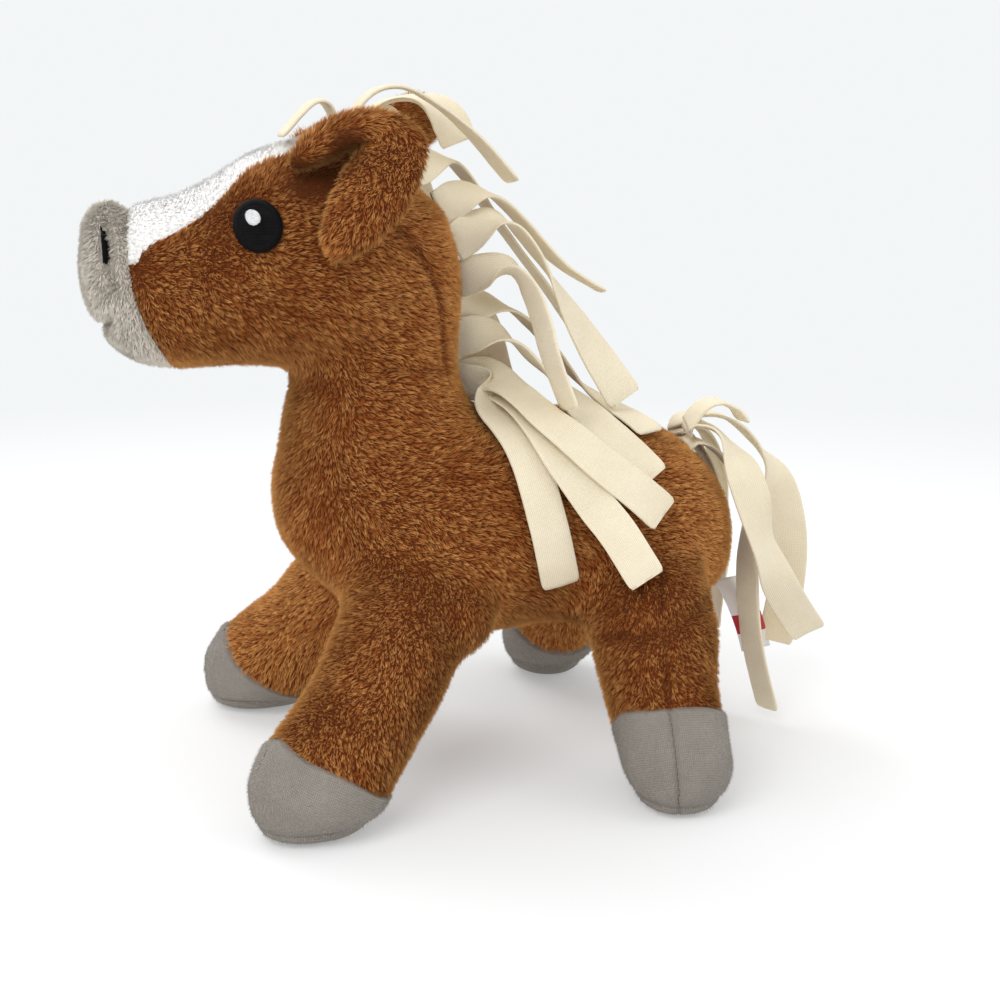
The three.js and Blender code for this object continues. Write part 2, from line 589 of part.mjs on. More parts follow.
// Mane: each strip is sewn in the nape's seam at a height, in one of three plies side by side.
// Free stops are shares of the fringe's reach back, outward and up from the root.
const plyOffset = [-fringePly, 0, fringePly];
const maneStrips = [
  { name: 'mane_strip_01', rootShare: 0.02, ply: 0, free: [[0.07, -0.04, -0.015, 'seam']],
    lying: [[0.448, 78, 0], [0.485, 46, 0], [0.51, 14, 0], [0.55, -20, 0]] },
  { name: 'mane_strip_02', rootShare: 0.05, ply: 1, free: [[0.06, -0.02, 0.025, 'seam']],
    lying: [[0.475, 80, 4.2], [0.531, 56, 3.4], [0.633, 30, 2.9], [0.753, 9, 1.8]] },
  { name: 'mane_strip_03', rootShare: 0.115, ply: 2, free: [[0.07, 0.028, -0.035, 'seam']],
    lying: [[0.482, 84, 1.9], [0.551, 36, 1.5], [0.612, 13, 1.8], [0.655, 1, 4.4], [0.692, -11, 7.8]] },
  { name: 'mane_strip_04', rootShare: 0.225, ply: 0,
    free: [[0.15, -0.07, 0.01, 'edge'], [0.31, -0.11, -0.14, 'edge'], [0.44, -0.15, -0.28, 'slant']],
    lying: [[0.676, 54, 0], [0.748, 27, 0]] },
  { name: 'mane_strip_05', rootShare: 0.335, ply: 1,
    free: [[0.16, 0.04, 0.01, 'edge'], [0.34, 0.06, -0.13, 'edge'], [0.5, 0.04, -0.33, 'level']],
    lying: [[0.724, 80, 0], [0.773, 58, 0]] },
  { name: 'mane_strip_06', rootShare: 0.45, ply: 0,
    free: [[0.12, -0.1, 0.04, 'edge'], [0.2, -0.23, -0.06, 'edge'], [0.25, -0.3, -0.29, 'edge'],
      [0.32, -0.34, -0.5, 'edge']] },
  { name: 'mane_strip_07', rootShare: 0.585, ply: 0,
    free: [[0.14, -0.03, 0.09, 'edge'], [0.28, -0.06, -0.05, 'edge'], [0.45, -0.12, -0.35, 'slant'],
      [0.64, -0.16, -0.65, 'broad']] },
  { name: 'mane_strip_08', rootShare: 0.715, ply: 1,
    free: [[0.14, 0.03, 0.06, 'edge'], [0.29, 0.07, -0.04, 'edge'], [0.48, 0.07, -0.25, 'edge'],
      [0.67, 0.04, -0.37, 'edge']] },
  { name: 'mane_strip_09', rootShare: 0.83, ply: 0,
    free: [[0.16, 0.18, 0.04, 'edge'], [0.42, 0.25, -0.27, 'level'], [0.66, 0.2, -0.6, 'level'],
      [0.86, 0.18, -0.92, 'level']] },
  { name: 'mane_strip_10', rootShare: 0.29, ply: 2,
    free: [[0.12, 0.14, -0.02, 'seam'], [0.2, 0.28, -0.2, 'broad'], [0.3, 0.42, -0.45, 'broad'],
      [0.42, 0.56, -0.78, 'broad']] },
  { name: 'mane_strip_11', rootShare: 0.93, ply: 2,
    free: [[0.07, 0.2, 0.09, 'seam'], [0.19, 0.38, -0.1, 'broad'], [0.32, 0.48, -0.42, 'broad'],
      [0.44, 0.54, -0.76, 'broad']] },
];

// The nape's seam: up the back of the neck and the head to the poll, a point for each height
const neckSurface = neck(0);
const withersHeight = neckSeamHeight - neckLength / 2 * Math.sin(THREE.MathUtils.degToRad(neckSeamTilt));
const pollPlaceShare = 0.7;
const pollHeight = formPoint(headSurface(pollPlaceShare), Math.PI / 2).z;
const halvings = 24;
const napePoint = (height) => {
  let low = pollPlaceShare;
  let high = 1;
  for (let i = 0; i < halvings; i += 1) {
    const middle = (low + high) / 2;
    if (formPoint(headSurface(middle), Math.PI / 2).z > height) low = middle;
    else high = middle;
  }
  const headBack = formPoint(headSurface(low), Math.PI / 2);
  const neckPlace = (height - neckFoot) / neckHeight;
  const neckBack = neckPlace < 1 ? formPoint(neckSurface(neckPlace), 0) : headBack;
  return new THREE.Vector3(Math.max(headBack.x, neckBack.x), 0, height);
};
const nape = (share) => {
  const step = 0.5;
  const height = THREE.MathUtils.lerp(withersHeight, pollHeight, share);
  const here = napePoint(height);
  const way = napePoint(height + step).sub(napePoint(height - step)).normalize();
  const outward = axisY.clone().cross(way);
  const swell = [-stripWidth, stripWidth].map((offset) => (
    napePoint(height + offset / 2).sub(here).dot(outward)));
  return { seam: here.addScaledVector(outward, gap + Math.max(0, ...swell)), way, outward };
};
const freeStops = (root, rows) => rows.map(([back, outward, up, way]) => ({
  point: root.clone().add(new THREE.Vector3(back, outward, up).multiplyScalar(fringeReach)),
  side: lie[way].clone().normalize(),
}));
maneStrips.forEach(({ name, rootShare, ply, free, lying }) => {
  const { seam, way, outward } = nape(rootShare);
  const slope = new THREE.Vector3(free[0][0], 0, free[0][2]).normalize().dot(way);
  const root = seam.addScaledVector(outward, (Math.abs(slope) * stripWidth) / 2);
  root.y += plyOffset[ply];
  const route = [{ point: root, side: way }, ...freeStops(root, free)];
  if (lying) route.push(...lyingStops(lying, route[route.length - 1].point));
  addPiece(maneGroup, name, strip(route), creamKnit);
});

// Forelock: sewn at the poll between the ears
const forelockPitch = 3;
const forelockStrips = [
  { name: 'forelock_strip_01', place: 0.7, offset: 0, liftShare: 0.1,
    free: [[0.06, 0, 0.1, 'level'], [0.19, 0, 0.16, 'level'], [0.33, 0, 0.1, 'slant'],
      [0.49, -0.02, -0.03, 'edge'], [0.66, -0.03, -0.22, 'edge']] },
  { name: 'forelock_strip_02', place: 0.73, offset: 1.5, liftShare: 1.3,
    free: [[0.1, 0.06, 0.08, 'level'], [0.24, 0.1, 0.11, 'level'], [0.38, 0.08, 0.05, 'broad'],
      [0.43, 0.08, -0.07, 'broad']] },
  { name: 'forelock_strip_03', place: 0.66, offset: -1.5, liftShare: 0.5,
    free: [[-0.02, -0.02, 0.08, 'level'], [-0.08, -0.03, 0.1, 'level'], [-0.15, -0.04, 0.02, 'level'],
      [-0.22, -0.04, -0.05, 'level']] },
];
forelockStrips.forEach(({ name, place, offset, liftShare, free }) => {
  const lift = gap + liftShare * stripThickness;
  const root = liftedPoint(headSurface, place, Math.PI / 2, lift).point;
  root.y += offset * forelockPitch;
  addPiece(maneGroup, name, strip([{ point: root, side: lie.level }, ...freeStops(root, free)]), creamKnit);
});

// Tail: strips stacked at one root over the rump, on which the tail lifts
const tailPlaceShare = 0.905;
const tailRoot = liftedPoint(barrelSurface, tailPlaceShare, Math.PI / 2, restLift).point;
const tailStrips = [
  { name: 'tail_strip_01', column: -1, layer: 3,
    free: [[0.09, -0.07, -0.03, 'level'], [0.16, -0.24, -0.25, 'trail'], [0.24, -0.21, -0.5, 'slant'],
      [0.38, -0.13, -0.735, 'trail'], [0.555, -0.03, -0.955, 'trail']] },
  { name: 'tail_strip_02', column: 1, layer: 3,
    free: [[0.19, -0.02, 0, 'level'], [0.345, -0.04, -0.145, 'level'], [0.465, -0.04, -0.36, 'trail'],
      [0.514, -0.04, -0.6, 'trail'], [0.487, -0.05, -0.85, 'trail'], [0.44, -0.07, -1.02, 'trail']] },
  { name: 'tail_strip_03', column: -1, layer: 0,
    free: [[0.139, 0.02, -0.09, 'level'], [0.231, 0, -0.294, 'slant'], [0.251, -0.02, -0.557, 'edge'],
      [0.268, -0.02, -0.805, 'edge'], [0.314, -0.03, -1.034, 'edge'], [0.36, -0.04, -1.22, 'edge']] },
  { name: 'tail_strip_04', column: 1, layer: 0,
    free: [[0.12, 0.06, -0.1, 'level'], [0.225, 0.12, -0.36, 'level'], [0.26, 0.16, -0.66, 'level'],
      [0.26, 0.2, -0.8, 'level'], [0.27, 0.24, -0.93, 'level']] },
  { name: 'tail_strip_05', column: 1, layer: 1.5,
    free: [[0.13, 0.08, -0.04, 'level'], [0.27, 0.2, -0.28, 'level'], [0.35, 0.28, -0.58, 'slant'],
      [0.35, 0.32, -0.76, 'slant'], [0.34, 0.34, -0.9, 'slant']] },
  { name: 'tail_strip_06', column: -1, layer: 4.2,
    free: [[0.05, -0.01, 0.065, 'level'], [0.14, -0.05, 0.055, 'level'], [0.2, -0.06, -0.02, 'level']] },
];
tailStrips.forEach(({ name, column, layer, free }) => {
  const root = tailRoot.clone();
  root.y += (column * (stripWidth + gap)) / 2;
  root.z += layer * fringeLayer;
  addPiece(tailGroup, name, strip([{ point: root, side: lie.level }, ...freeStops(root, free)]), creamKnit);
});

// Care label: a bare satin tab sewn in the rump's seam under the tail
const labelPlaceShare = 0.97;
const labelTurn = THREE.MathUtils.degToRad(14); // up the rump from its lowest point
const labelHang = THREE.MathUtils.degToRad(22); // of its upper half off the vertical
const labelFaceTurn = THREE.MathUtils.degToRad(78); // of its width, towards the front
const labelShape = () => {
  const seam = formPoint(barrelSurface(labelPlaceShare), labelTurn - Math.PI / 2).setY(0);
  const turnedIn = (Math.sin(labelFaceTurn) * labelWidth) / 2;
  const start = seam.addScaledVector(axisX, gap + labelThickness + turnedIn);
  const drop = axisZ.clone().multiplyScalar(-labelLength / 2);
  const bend = start.clone().add(drop.clone().applyAxisAngle(axisY, -labelHang));
  const end = bend.clone().add(drop.clone().applyAxisAngle(axisY, -labelHang / 2));
  const broadWay = axisY.clone().applyAxisAngle(axisZ, -labelFaceTurn);
  return closedForm([start, bend, end].map((point) => cornerShares.map(([a, b]) => point.clone()
    .addScaledVector(broadWay, (a * labelWidth) / 2)
    .addScaledVector(axisX, (b * labelThickness) / 2))));
};
addPiece(bodyGroup, 'care_label', labelShape(), whiteSatin);

// The origin is the middle of the horse's box, on the ground
const box = new THREE.Box3().setFromObject(horse);
horse.position.set(-(box.min.x + box.max.x) / 2, -(box.min.y + box.max.y) / 2, -box.min.z);
horse.updateMatrixWorld(true);

export default horse;
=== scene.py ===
# A stuffed plush horse for Blender 4.5: skins, pile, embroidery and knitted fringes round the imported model
import math

import bpy
import numpy as np
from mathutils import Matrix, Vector


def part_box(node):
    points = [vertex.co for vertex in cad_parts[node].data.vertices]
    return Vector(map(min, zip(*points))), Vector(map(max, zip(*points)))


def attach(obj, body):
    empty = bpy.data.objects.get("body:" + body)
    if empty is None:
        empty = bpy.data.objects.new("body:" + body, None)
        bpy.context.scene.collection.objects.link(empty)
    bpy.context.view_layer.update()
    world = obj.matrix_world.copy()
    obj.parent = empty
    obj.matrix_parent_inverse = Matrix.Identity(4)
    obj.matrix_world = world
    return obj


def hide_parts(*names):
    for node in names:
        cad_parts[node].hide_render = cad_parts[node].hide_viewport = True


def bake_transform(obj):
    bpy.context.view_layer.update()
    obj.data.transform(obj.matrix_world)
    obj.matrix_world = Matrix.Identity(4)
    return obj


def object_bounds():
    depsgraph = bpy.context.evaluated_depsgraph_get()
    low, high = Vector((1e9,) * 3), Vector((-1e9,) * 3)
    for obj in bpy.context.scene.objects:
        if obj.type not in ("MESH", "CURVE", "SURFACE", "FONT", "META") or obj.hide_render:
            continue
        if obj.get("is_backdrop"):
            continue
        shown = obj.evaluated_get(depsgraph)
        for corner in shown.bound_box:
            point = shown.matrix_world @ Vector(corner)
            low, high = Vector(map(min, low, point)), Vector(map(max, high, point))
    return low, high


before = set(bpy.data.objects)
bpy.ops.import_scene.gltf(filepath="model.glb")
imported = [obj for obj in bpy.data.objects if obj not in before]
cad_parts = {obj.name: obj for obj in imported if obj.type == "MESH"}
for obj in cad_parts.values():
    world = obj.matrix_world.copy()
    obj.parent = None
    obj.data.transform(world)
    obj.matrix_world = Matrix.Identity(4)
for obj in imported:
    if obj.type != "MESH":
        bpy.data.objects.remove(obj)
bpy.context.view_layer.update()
mm = 0.001
middleX = 7.632  # the barrel's middle in the row frame, mm

# where the photograph was taken from: degrees round and up, mm from the target, and the lens in mm
cameraPlace = dict(azimuth=-15.5, elevation=12.6, distance=440.0, target=(6.532, 0.0, 63.0), lens=63.36)


def makeCamera(place):
    # it stands back from its target along the direction that its turn and its rise give, and looks at the target
    turn, rise = math.radians(place["azimuth"]), math.radians(place["elevation"])
    back = Vector((math.sin(turn) * math.cos(rise), -math.cos(turn) * math.cos(rise), math.sin(rise)))
    camera = bpy.data.objects.new("camera", bpy.data.cameras.new("camera"))
    camera.data.lens = place["lens"]
    camera.data.sensor_width = 36.0
    camera.data.clip_start = 0.01
    camera.data.clip_end = 20.0
    camera.location = (Vector(place["target"]) + back * place["distance"]) * mm
    camera.rotation_mode = "QUATERNION"
    camera.rotation_quaternion = (-back).to_track_quat("-Z", "Y")
    bpy.context.scene.collection.objects.link(camera)
    bpy.context.scene.camera = camera


makeCamera(cameraPlace)
print("camera placed")


def putMesh(name, points, faces, material=None, uvs=None, uvName="clothMap"):
    # points in mm; faces an array of three or four corners; uvs one pair for each face corner
    mesh = bpy.data.meshes.new(name)
    count, corners = faces.shape
    mesh.vertices.add(len(points))
    mesh.vertices.foreach_set("co", (np.asarray(points) * mm).astype(np.float32).ravel())
    mesh.loops.add(count * corners)
    mesh.loops.foreach_set("vertex_index", faces.astype(np.int32).ravel())
    mesh.polygons.add(count)
    mesh.polygons.foreach_set("loop_start", np.arange(0, count * corners, corners, dtype=np.int32))
    mesh.polygons.foreach_set("use_smooth", np.ones(count, bool))
    if uvs is not None:
        layer = mesh.uv_layers.new(name=uvName)
        layer.data.foreach_set("uv", np.asarray(uvs, np.float32).ravel())
    mesh.update(calc_edges=True)
    mesh.validate()
    thing = bpy.data.objects.new(name, mesh)
    bpy.context.scene.collection.objects.link(thing)
    if material is not None:
        mesh.materials.append(material)
    return thing


def readMesh(thing):
    # points in mm and triangles of the mesh with its modifiers
    graph = bpy.context.evaluated_depsgraph_get()
    made = thing.evaluated_get(graph)
    mesh = bpy.data.meshes.new_from_object(made)
    points = np.empty(len(mesh.vertices) * 3, np.float32)
    mesh.vertices.foreach_get("co", points)
    mesh.calc_loop_triangles()
    corners = np.empty(len(mesh.loop_triangles) * 3, np.int32)
    mesh.loop_triangles.foreach_get("vertices", corners)
    bpy.data.meshes.remove(mesh)
    return points.reshape(-1, 3).astype(float) / mm, corners.reshape(-1, 3)


def dropObject(thing):
    # the object goes, and its mesh with it
    mesh = thing.data
    bpy.data.objects.remove(thing)
    bpy.data.meshes.remove(mesh)


def unit(vectors):
    # each vector divided by its own length
    return vectors / np.maximum(np.linalg.norm(vectors, axis=-1, keepdims=True), 1e-9)


def pointNormals(points, faces):
    # the sum of the face normals round each point, each as long as its face is wide
    a, b, c = (points[faces[:, k]] for k in range(3))
    facing = np.cross(b - a, c - a)
    total = np.zeros_like(points)
    for k in range(3):
        for axis in range(3):
            total[:, axis] += np.bincount(faces[:, k], facing[:, axis], len(points))
    return unit(total)


def smoothed(points, faces, weight, rounds):
    # each point moves towards the mean of its neighbours by its weight, round after round
    starts = faces.ravel()
    ends = np.roll(faces, -1, axis=1).ravel()
    here = np.concatenate([starts, ends])
    there = np.concatenate([ends, starts])
    number = np.maximum(np.bincount(here, minlength=len(points)), 1)
    for _ in range(rounds):
        mean = np.stack([np.bincount(here, points[there, k], len(points)) for k in range(3)], 1) / number[:, None]
        points = points + (mean - points) * np.asarray(weight).reshape(-1, 1)
    return points


def ease(value, low, high):
    # 0 below low, 1 above high, an even S between them
    t = np.clip((np.asarray(value, float) - low) / (high - low), 0, 1)
    return t * t * (3 - 2 * t)


def bell(distance, width):
    # 1 on the line, falling by a bell curve over the width
    return np.exp(-(distance / width) ** 2)


def signedPower(value, exponent):
    # the value's size raised to the power, with the value's own sign
    return np.sign(value) * np.abs(value) ** exponent


def rowValues(rows, place):
    # cubic curves through rows of [place, value, ...], each slope taken from the rows on both sides
    rows = np.asarray(rows, float)
    x, y = rows[:, 0], rows[:, 1:]
    place = np.atleast_1d(np.asarray(place, float))
    order = np.arange(len(x))
    before, after = np.maximum(order - 1, 0), np.minimum(order + 1, len(x) - 1)
    slope = (y[after] - y[before]) / (x[after] - x[before])[:, None]
    i = np.clip(np.searchsorted(x, place, side="left") - 1, 0, len(x) - 2)
    span = (x[i + 1] - x[i])[:, None]
    t = np.clip((place - x[i])[:, None] / span, 0, 1)
    soft = t * t * (3 - 2 * t)
    bend = t * (1 - t)
    return y[i] * (1 - soft) + y[i + 1] * soft + slope[i] * span * bend * (1 - t) - slope[i + 1] * span * bend * t


def ringTriangles(rings, sides):
    # two triangles for each cell of a tube's grid, and a fan at both ends round the two last points
    i, j = np.meshgrid(np.arange(rings - 1), np.arange(sides), indexing="ij")
    a, b = (i * sides + j).ravel(), (i * sides + (j + 1) % sides).ravel()
    side = np.concatenate([np.stack([a, b, a + sides], 1), np.stack([b, b + sides, a + sides], 1)])
    j = np.arange(sides)
    k = (j + 1) % sides
    last = (rings - 1) * sides
    middle = rings * sides
    first = np.stack([k, j, np.full(sides, middle)], 1)
    final = np.stack([last + j, last + k, np.full(sides, middle + 1)], 1)
    return np.concatenate([side, first, final])


def signedVolume(points, triangles):
    # six times a closed mesh's volume, less than nothing where its faces point inwards
    a, b, c = (points[triangles[:, k]] for k in range(3))
    return np.einsum("ij,ij->i", a, np.cross(b, c)).sum()


def outwardFaces(points, faces):
    # the faces as they are, or run the other way round where they point inwards
    return faces[:, ::-1] if signedVolume(points, faces) < 0 else faces


def outwardMap(faces, pairs, facing):
    # the same for faces with a map: the pairs of each face run the other way round with it
    if facing < 0:
        return faces[:, ::-1], pairs.reshape(-1, faces.shape[1], 2)[:, ::-1].reshape(-1, 2)
    return faces, pairs


def tube(rings):
    # rings of points, an array of (rings, sides, 3), closed at both ends
    count, sides = rings.shape[:2]
    points = np.concatenate([rings.reshape(-1, 3), rings[:1].mean(1), rings[-1:].mean(1)])
    return points, outwardFaces(points, ringTriangles(count, sides))


def latticeNoise(points, cell, seed):
    # random numbers from -1 to 1 on a lattice, eased between its corners
    table = np.random.default_rng(seed).random((32, 32, 32)) * 2 - 1
    q = np.asarray(points) / cell
    base = np.floor(q).astype(int)
    t = q - base
    t = t * t * (3 - 2 * t)
    total = np.zeros(len(q))
    for corner in np.ndindex(2, 2, 2):
        share = np.prod(np.where(corner, t, 1 - t), axis=1)
        x, y, z = ((base + corner) % 32).T
        total += share * table[x, y, z]
    return total


# rows: a share of the length, then the middle's rise, the depth and the width there, as shares of the form's own
barrelForm = dict(length=117.6, depth=54.0, width=60.0, height=59.2, chestEnd=3.0, rumpEnd=3.3, rows=[
    [0, 0.31, 0.89, 0.73], [0.1, 0.24, 1, 0.87], [0.25, 0.09, 1.15, 0.97], [0.4, 0, 1.07, 1],
    [0.55, 0, 1.01, 1], [0.7, 0, 0.99, 1], [0.85, -0.07, 0.96, 0.98], [1, -0.28, 0.89, 0.87]])
# rows: a share of the height, then the middle's step forward, the length and the width there
neckForm = dict(length=42.0, width=43.0, reach=33.4, foot=69.7, height=68.0, seam=92.9, seamTilt=7.0, rows=[
    [0, 0, 1.15, 1.07], [0.235, -0.06, 1.12, 1.05], [0.37, -0.04, 0.99, 1], [0.485, -0.03, 0.98, 1],
    [0.63, -0.05, 1, 1.05], [0.78, 0, 1.05, 1.07], [1, 0.1, 0.95, 0.98]])
headForm = dict(length=89.0, depth=56.0, width=56.0, reach=56.1, height=124.7, end=2.6, rows=[
    [0, -0.125, 0.72, 0.84], [0.05, -0.09, 0.82, 0.87], [0.107, -0.165, 0.835, 0.88], [0.15, -0.2, 0.83, 0.87],
    [0.253, -0.185, 0.78, 0.84], [0.354, -0.1, 0.81, 0.93], [0.444, -0.01, 0.9, 0.99], [0.556, 0.02, 0.98, 1.02],
    [0.669, 0.055, 1.04, 1.02], [0.78, 0.01, 1, 0.98], [0.893, -0.1, 0.875, 0.92], [1, -0.27, 0.79, 0.88]])
# rows: a share of the leg, then how far its line has gone from hip to foot along X, Y and Z, its length and its width
legForms = {
    "front": dict(hip=(-26, -15.6, 51.7), foot=(-59.6, -47.5, -0.5), hoofShare=0.655, rows=[
        [0, 0, 0, 0, 0.86, 0.86], [0.22, 0.25, 0.405, 0.3, 0.97, 0.99], [0.45, 0.53, 0.664, 0.55, 0.92, 0.94],
        [0.7, 0.84, 0.888, 0.76, 0.97, 0.92], [0.9, 0.99, 0.983, 0.92, 0.86, 0.84], [1, 1, 1, 1, 0.56, 0.54]]),
    "hind": dict(hip=(31, -15.6, 51.7), foot=(26.9, -56, -0.5), hoofShare=0.58, rows=[
        [0, 0, 0, 0, 0.86, 0.86], [0.22, 0.46, 0.354, 0.28, 1, 0.99], [0.45, 0.83, 0.599, 0.52, 0.88, 0.94],
        [0.7, 0.87, 0.822, 0.72, 0.8, 0.88], [0.9, 1, 0.969, 0.91, 0.75, 0.78], [1, 1, 1, 1, 0.5, 0.5]]),
}
legThickness = 32.0
fullness = 2.3  # the power of the superellipses that the body's sections follow
sideNames = {"left": -1.0, "right": 1.0}


def roundEnd(place, end):
    # a rounded end: the p-norm of the distance from the form's middle
    return np.maximum(1 - np.abs(2 * place - 1) ** end, 0) ** (1 / end)


def lyingFrames(form, centre, end, place, inset):
    # a form that lies along X: at each share of its length its middle and its two half axes, which its end rounds off
    rise, depth, width = rowValues(form["rows"], place).T
    zero = np.zeros_like(place)
    middle = np.stack([centre + (place - 0.5) * (form["length"] - 2 * inset), zero,
                       form["height"] + rise * form["depth"] / 2], 1)
    across = np.stack([zero, (width * form["width"] / 2 - inset) * end, zero], 1)
    upward = np.stack([zero, zero, (depth * form["depth"] / 2 - inset) * end], 1)
    return middle, across, upward


def barrelFrames(place, inset=0.0):
    # its two ends round off by powers of their own
    end = roundEnd(place, np.where(place < 0.5, barrelForm["chestEnd"], barrelForm["rumpEnd"]))
    return lyingFrames(barrelForm, middleX, end, place, inset)


def headFrames(place, inset=0.0):
    # it lies ahead of the barrel's middle by its reach
    return lyingFrames(headForm, middleX - headForm["reach"], roundEnd(place, headForm["end"]), place, inset)


def neckFrames(place, inset=0.0):
    # a form that stands along Z, open at both ends: its half axes lie along X and Y
    f = neckForm
    step, length, width = rowValues(f["rows"], place).T
    zero = np.zeros_like(place)
    middle = np.stack([middleX - f["reach"] - step * f["length"] / 2, zero,
                       f["foot"] + inset + place * (f["height"] - 2 * inset)], 1)
    across = np.stack([length * f["length"] / 2 - inset, zero, zero], 1)
    upward = np.stack([zero, width * f["width"] / 2 - inset, zero], 1)
    return middle, across, upward


def inFrame(point, side):
    # a point of the left side's forms, on the chosen hand and in the frame
    return np.asarray(point, float) * [1, -side, 1] + [middleX, 0, 0]


def legMiddle(leg, place, side):
    # the leg's middle line: from the hip towards the foot by each axis's own share
    hip, foot = np.array(leg["hip"], float), np.array(leg["foot"], float)
    shares = rowValues(leg["rows"], place)[:, :3]
    return inFrame(hip + (foot - hip) * shares, side)


def legFrames(leg, place, side, inset=0.0, step=0.02):
    # the frame turns with the line: forward is the X axis made square to it
    before = legMiddle(leg, np.maximum(place - step, 0), side)
    after = legMiddle(leg, np.minimum(place + step, 1), side)
    tangent = unit(after - before)
    tangent[place > 1 - step] = (0, 0, -1)
    forward = unit(np.array([1.0, 0, 0]) - tangent * tangent[:, :1])
    outward = np.cross(tangent, forward)
    length, width = rowValues(leg["rows"], place)[:, 3:].T
    return (legMiddle(leg, place, side), forward * (length * legThickness / 2 - inset)[:, None],
            outward * (width * legThickness / 2 - inset)[:, None])


def formRings(middle, across, upward, sides, squareness=fullness):
    # superellipse rings: the middle, plus the two half axes by powers of cosine and sine
    turn = np.linspace(0, 2 * np.pi, sides, endpoint=False)
    c, s = signedPower(np.cos(turn), 2 / squareness), signedPower(np.sin(turn), 2 / squareness)
    return middle[:, None] + across[:, None] * c[None, :, None] + upward[:, None] * s[None, :, None]


def headSide(x, z, side, lift=0.0):
    # the point of the head's side at x and z, moved out along the surface's normal
    def surface(x, z):
        # the superellipse solved for its width at the height z
        place = (x - middleX + headForm["reach"]) / headForm["length"] + 0.5
        middle, across, upward = headFrames(place)
        rise = np.clip((z - middle[:, 2]) / upward[:, 2], -1, 1)
        out = (1 - np.abs(rise) ** fullness) ** (1 / fullness)
        return np.stack([x, side * across[:, 1] * out, z], 1)
    x, z = np.atleast_1d(np.asarray(x, float)), np.atleast_1d(np.asarray(z, float))
    x, z = np.broadcast_arrays(x, z)
    step = 0.3
    normal = unit(np.cross(surface(x + step, z) - surface(x - step, z), surface(x, z + step) - surface(x, z - step)))
    normal *= np.sign(normal[:, 1:2]) * side
    return surface(x, z) + normal * np.asarray(lift).reshape(-1, 1), normal


skinMaking = dict(inset=1.5, voxel=2.5, fillRounds=26, fillBelow=62.0, polish=3,
                  cloth=dict(pressure=4.0, frames=20, cap=1.3, mass=0.3, stretch=12, shear=6, bending=0.4))
armpit = dict(middle=(-12.0, 28.0, 42.5), radius=9.8)


def plainForms(inset):
    # closed tubes for barrel, head, neck and legs, each drawn in by the inset
    ends = (1 - np.cos(np.pi * np.linspace(0, 1, 61))) / 2
    ends = np.clip(ends, 0.0006, 0.9994)
    even = np.linspace(0, 1, 40)
    parts = [tube(formRings(*barrelFrames(ends, inset), 72)), tube(formRings(*headFrames(ends, inset), 72)),
             tube(formRings(*neckFrames(even, inset), 64))]
    for leg in legForms.values():
        for side in sideNames.values():
            parts.append(tube(formRings(*legFrames(leg, even, side, inset), 48)))
    # the cloth spans the hollow behind each front leg: a round filler in its corner
    radius = armpit["radius"]
    bulge = np.sin(np.pi * np.clip(even, 0.03, 0.97))[:, None]
    for side in sideNames.values():
        middle = np.array(armpit["middle"]) * [1, side, 1] + (even - 0.5)[:, None] * [0, 2 * radius, 0]
        parts.append(tube(formRings(middle, bulge * [radius, 0, 0], bulge * [0, 0, radius], 32, 2.0)))
    return parts


def joined(parts):
    # several meshes as one: their points one after the other, and their faces counted on
    points, faces, start = [], [], 0
    for p, f in parts:
        points.append(p)
        faces.append(f + start)
        start += len(p)
    return np.concatenate(points), np.concatenate(faces)


# the muzzle's seam as a Bezier curve, and half the blaze's width at places along the head, in shares of the head
muzzleSeam = [(0.163, 0.82), (0.073, 0.11), (0.096, -0.54), (0.298, -1.1)]
blazeEdge = [(0.1, 0.285), (0.24, 0.265), (0.34, 0.25), (0.42, 0.2), (0.53, 0.2), (0.62, 0.16), (0.7, 0.1)]
headFront = middleX - headForm["reach"] - headForm["length"] / 2


def muzzleLine(z):
    # the x of the muzzle's seam at each height, from its cubic Bezier curve
    t = np.linspace(0, 1, 60)[:, None]
    p = np.array([(headFront + a * headForm["length"], headForm["height"] + b * headForm["depth"] / 2)
                  for a, b in muzzleSeam])
    curve = (1 - t) ** 3 * p[0] + 3 * (1 - t) ** 2 * t * p[1] + 3 * (1 - t) * t ** 2 * p[2] + t ** 3 * p[3]
    order = np.argsort(curve[:, 1])
    low, high = curve[order[0]], curve[order[-1]]
    x = np.interp(z, curve[order, 1], curve[order, 0])
    return np.where(z > high[1], high[0] + (z - high[1]) * 0.5, np.where(z < low[1], low[0], x))


def blazeLine(x):
    # half the blaze's width at each x, nothing past its two ends
    place, half = np.array(blazeEdge).T
    place, half = headFront + place * headForm["length"], half * headForm["width"]
    return np.where(x > place[-1], half[-1] - (x - place[-1]) * 3, np.interp(x, place, half))


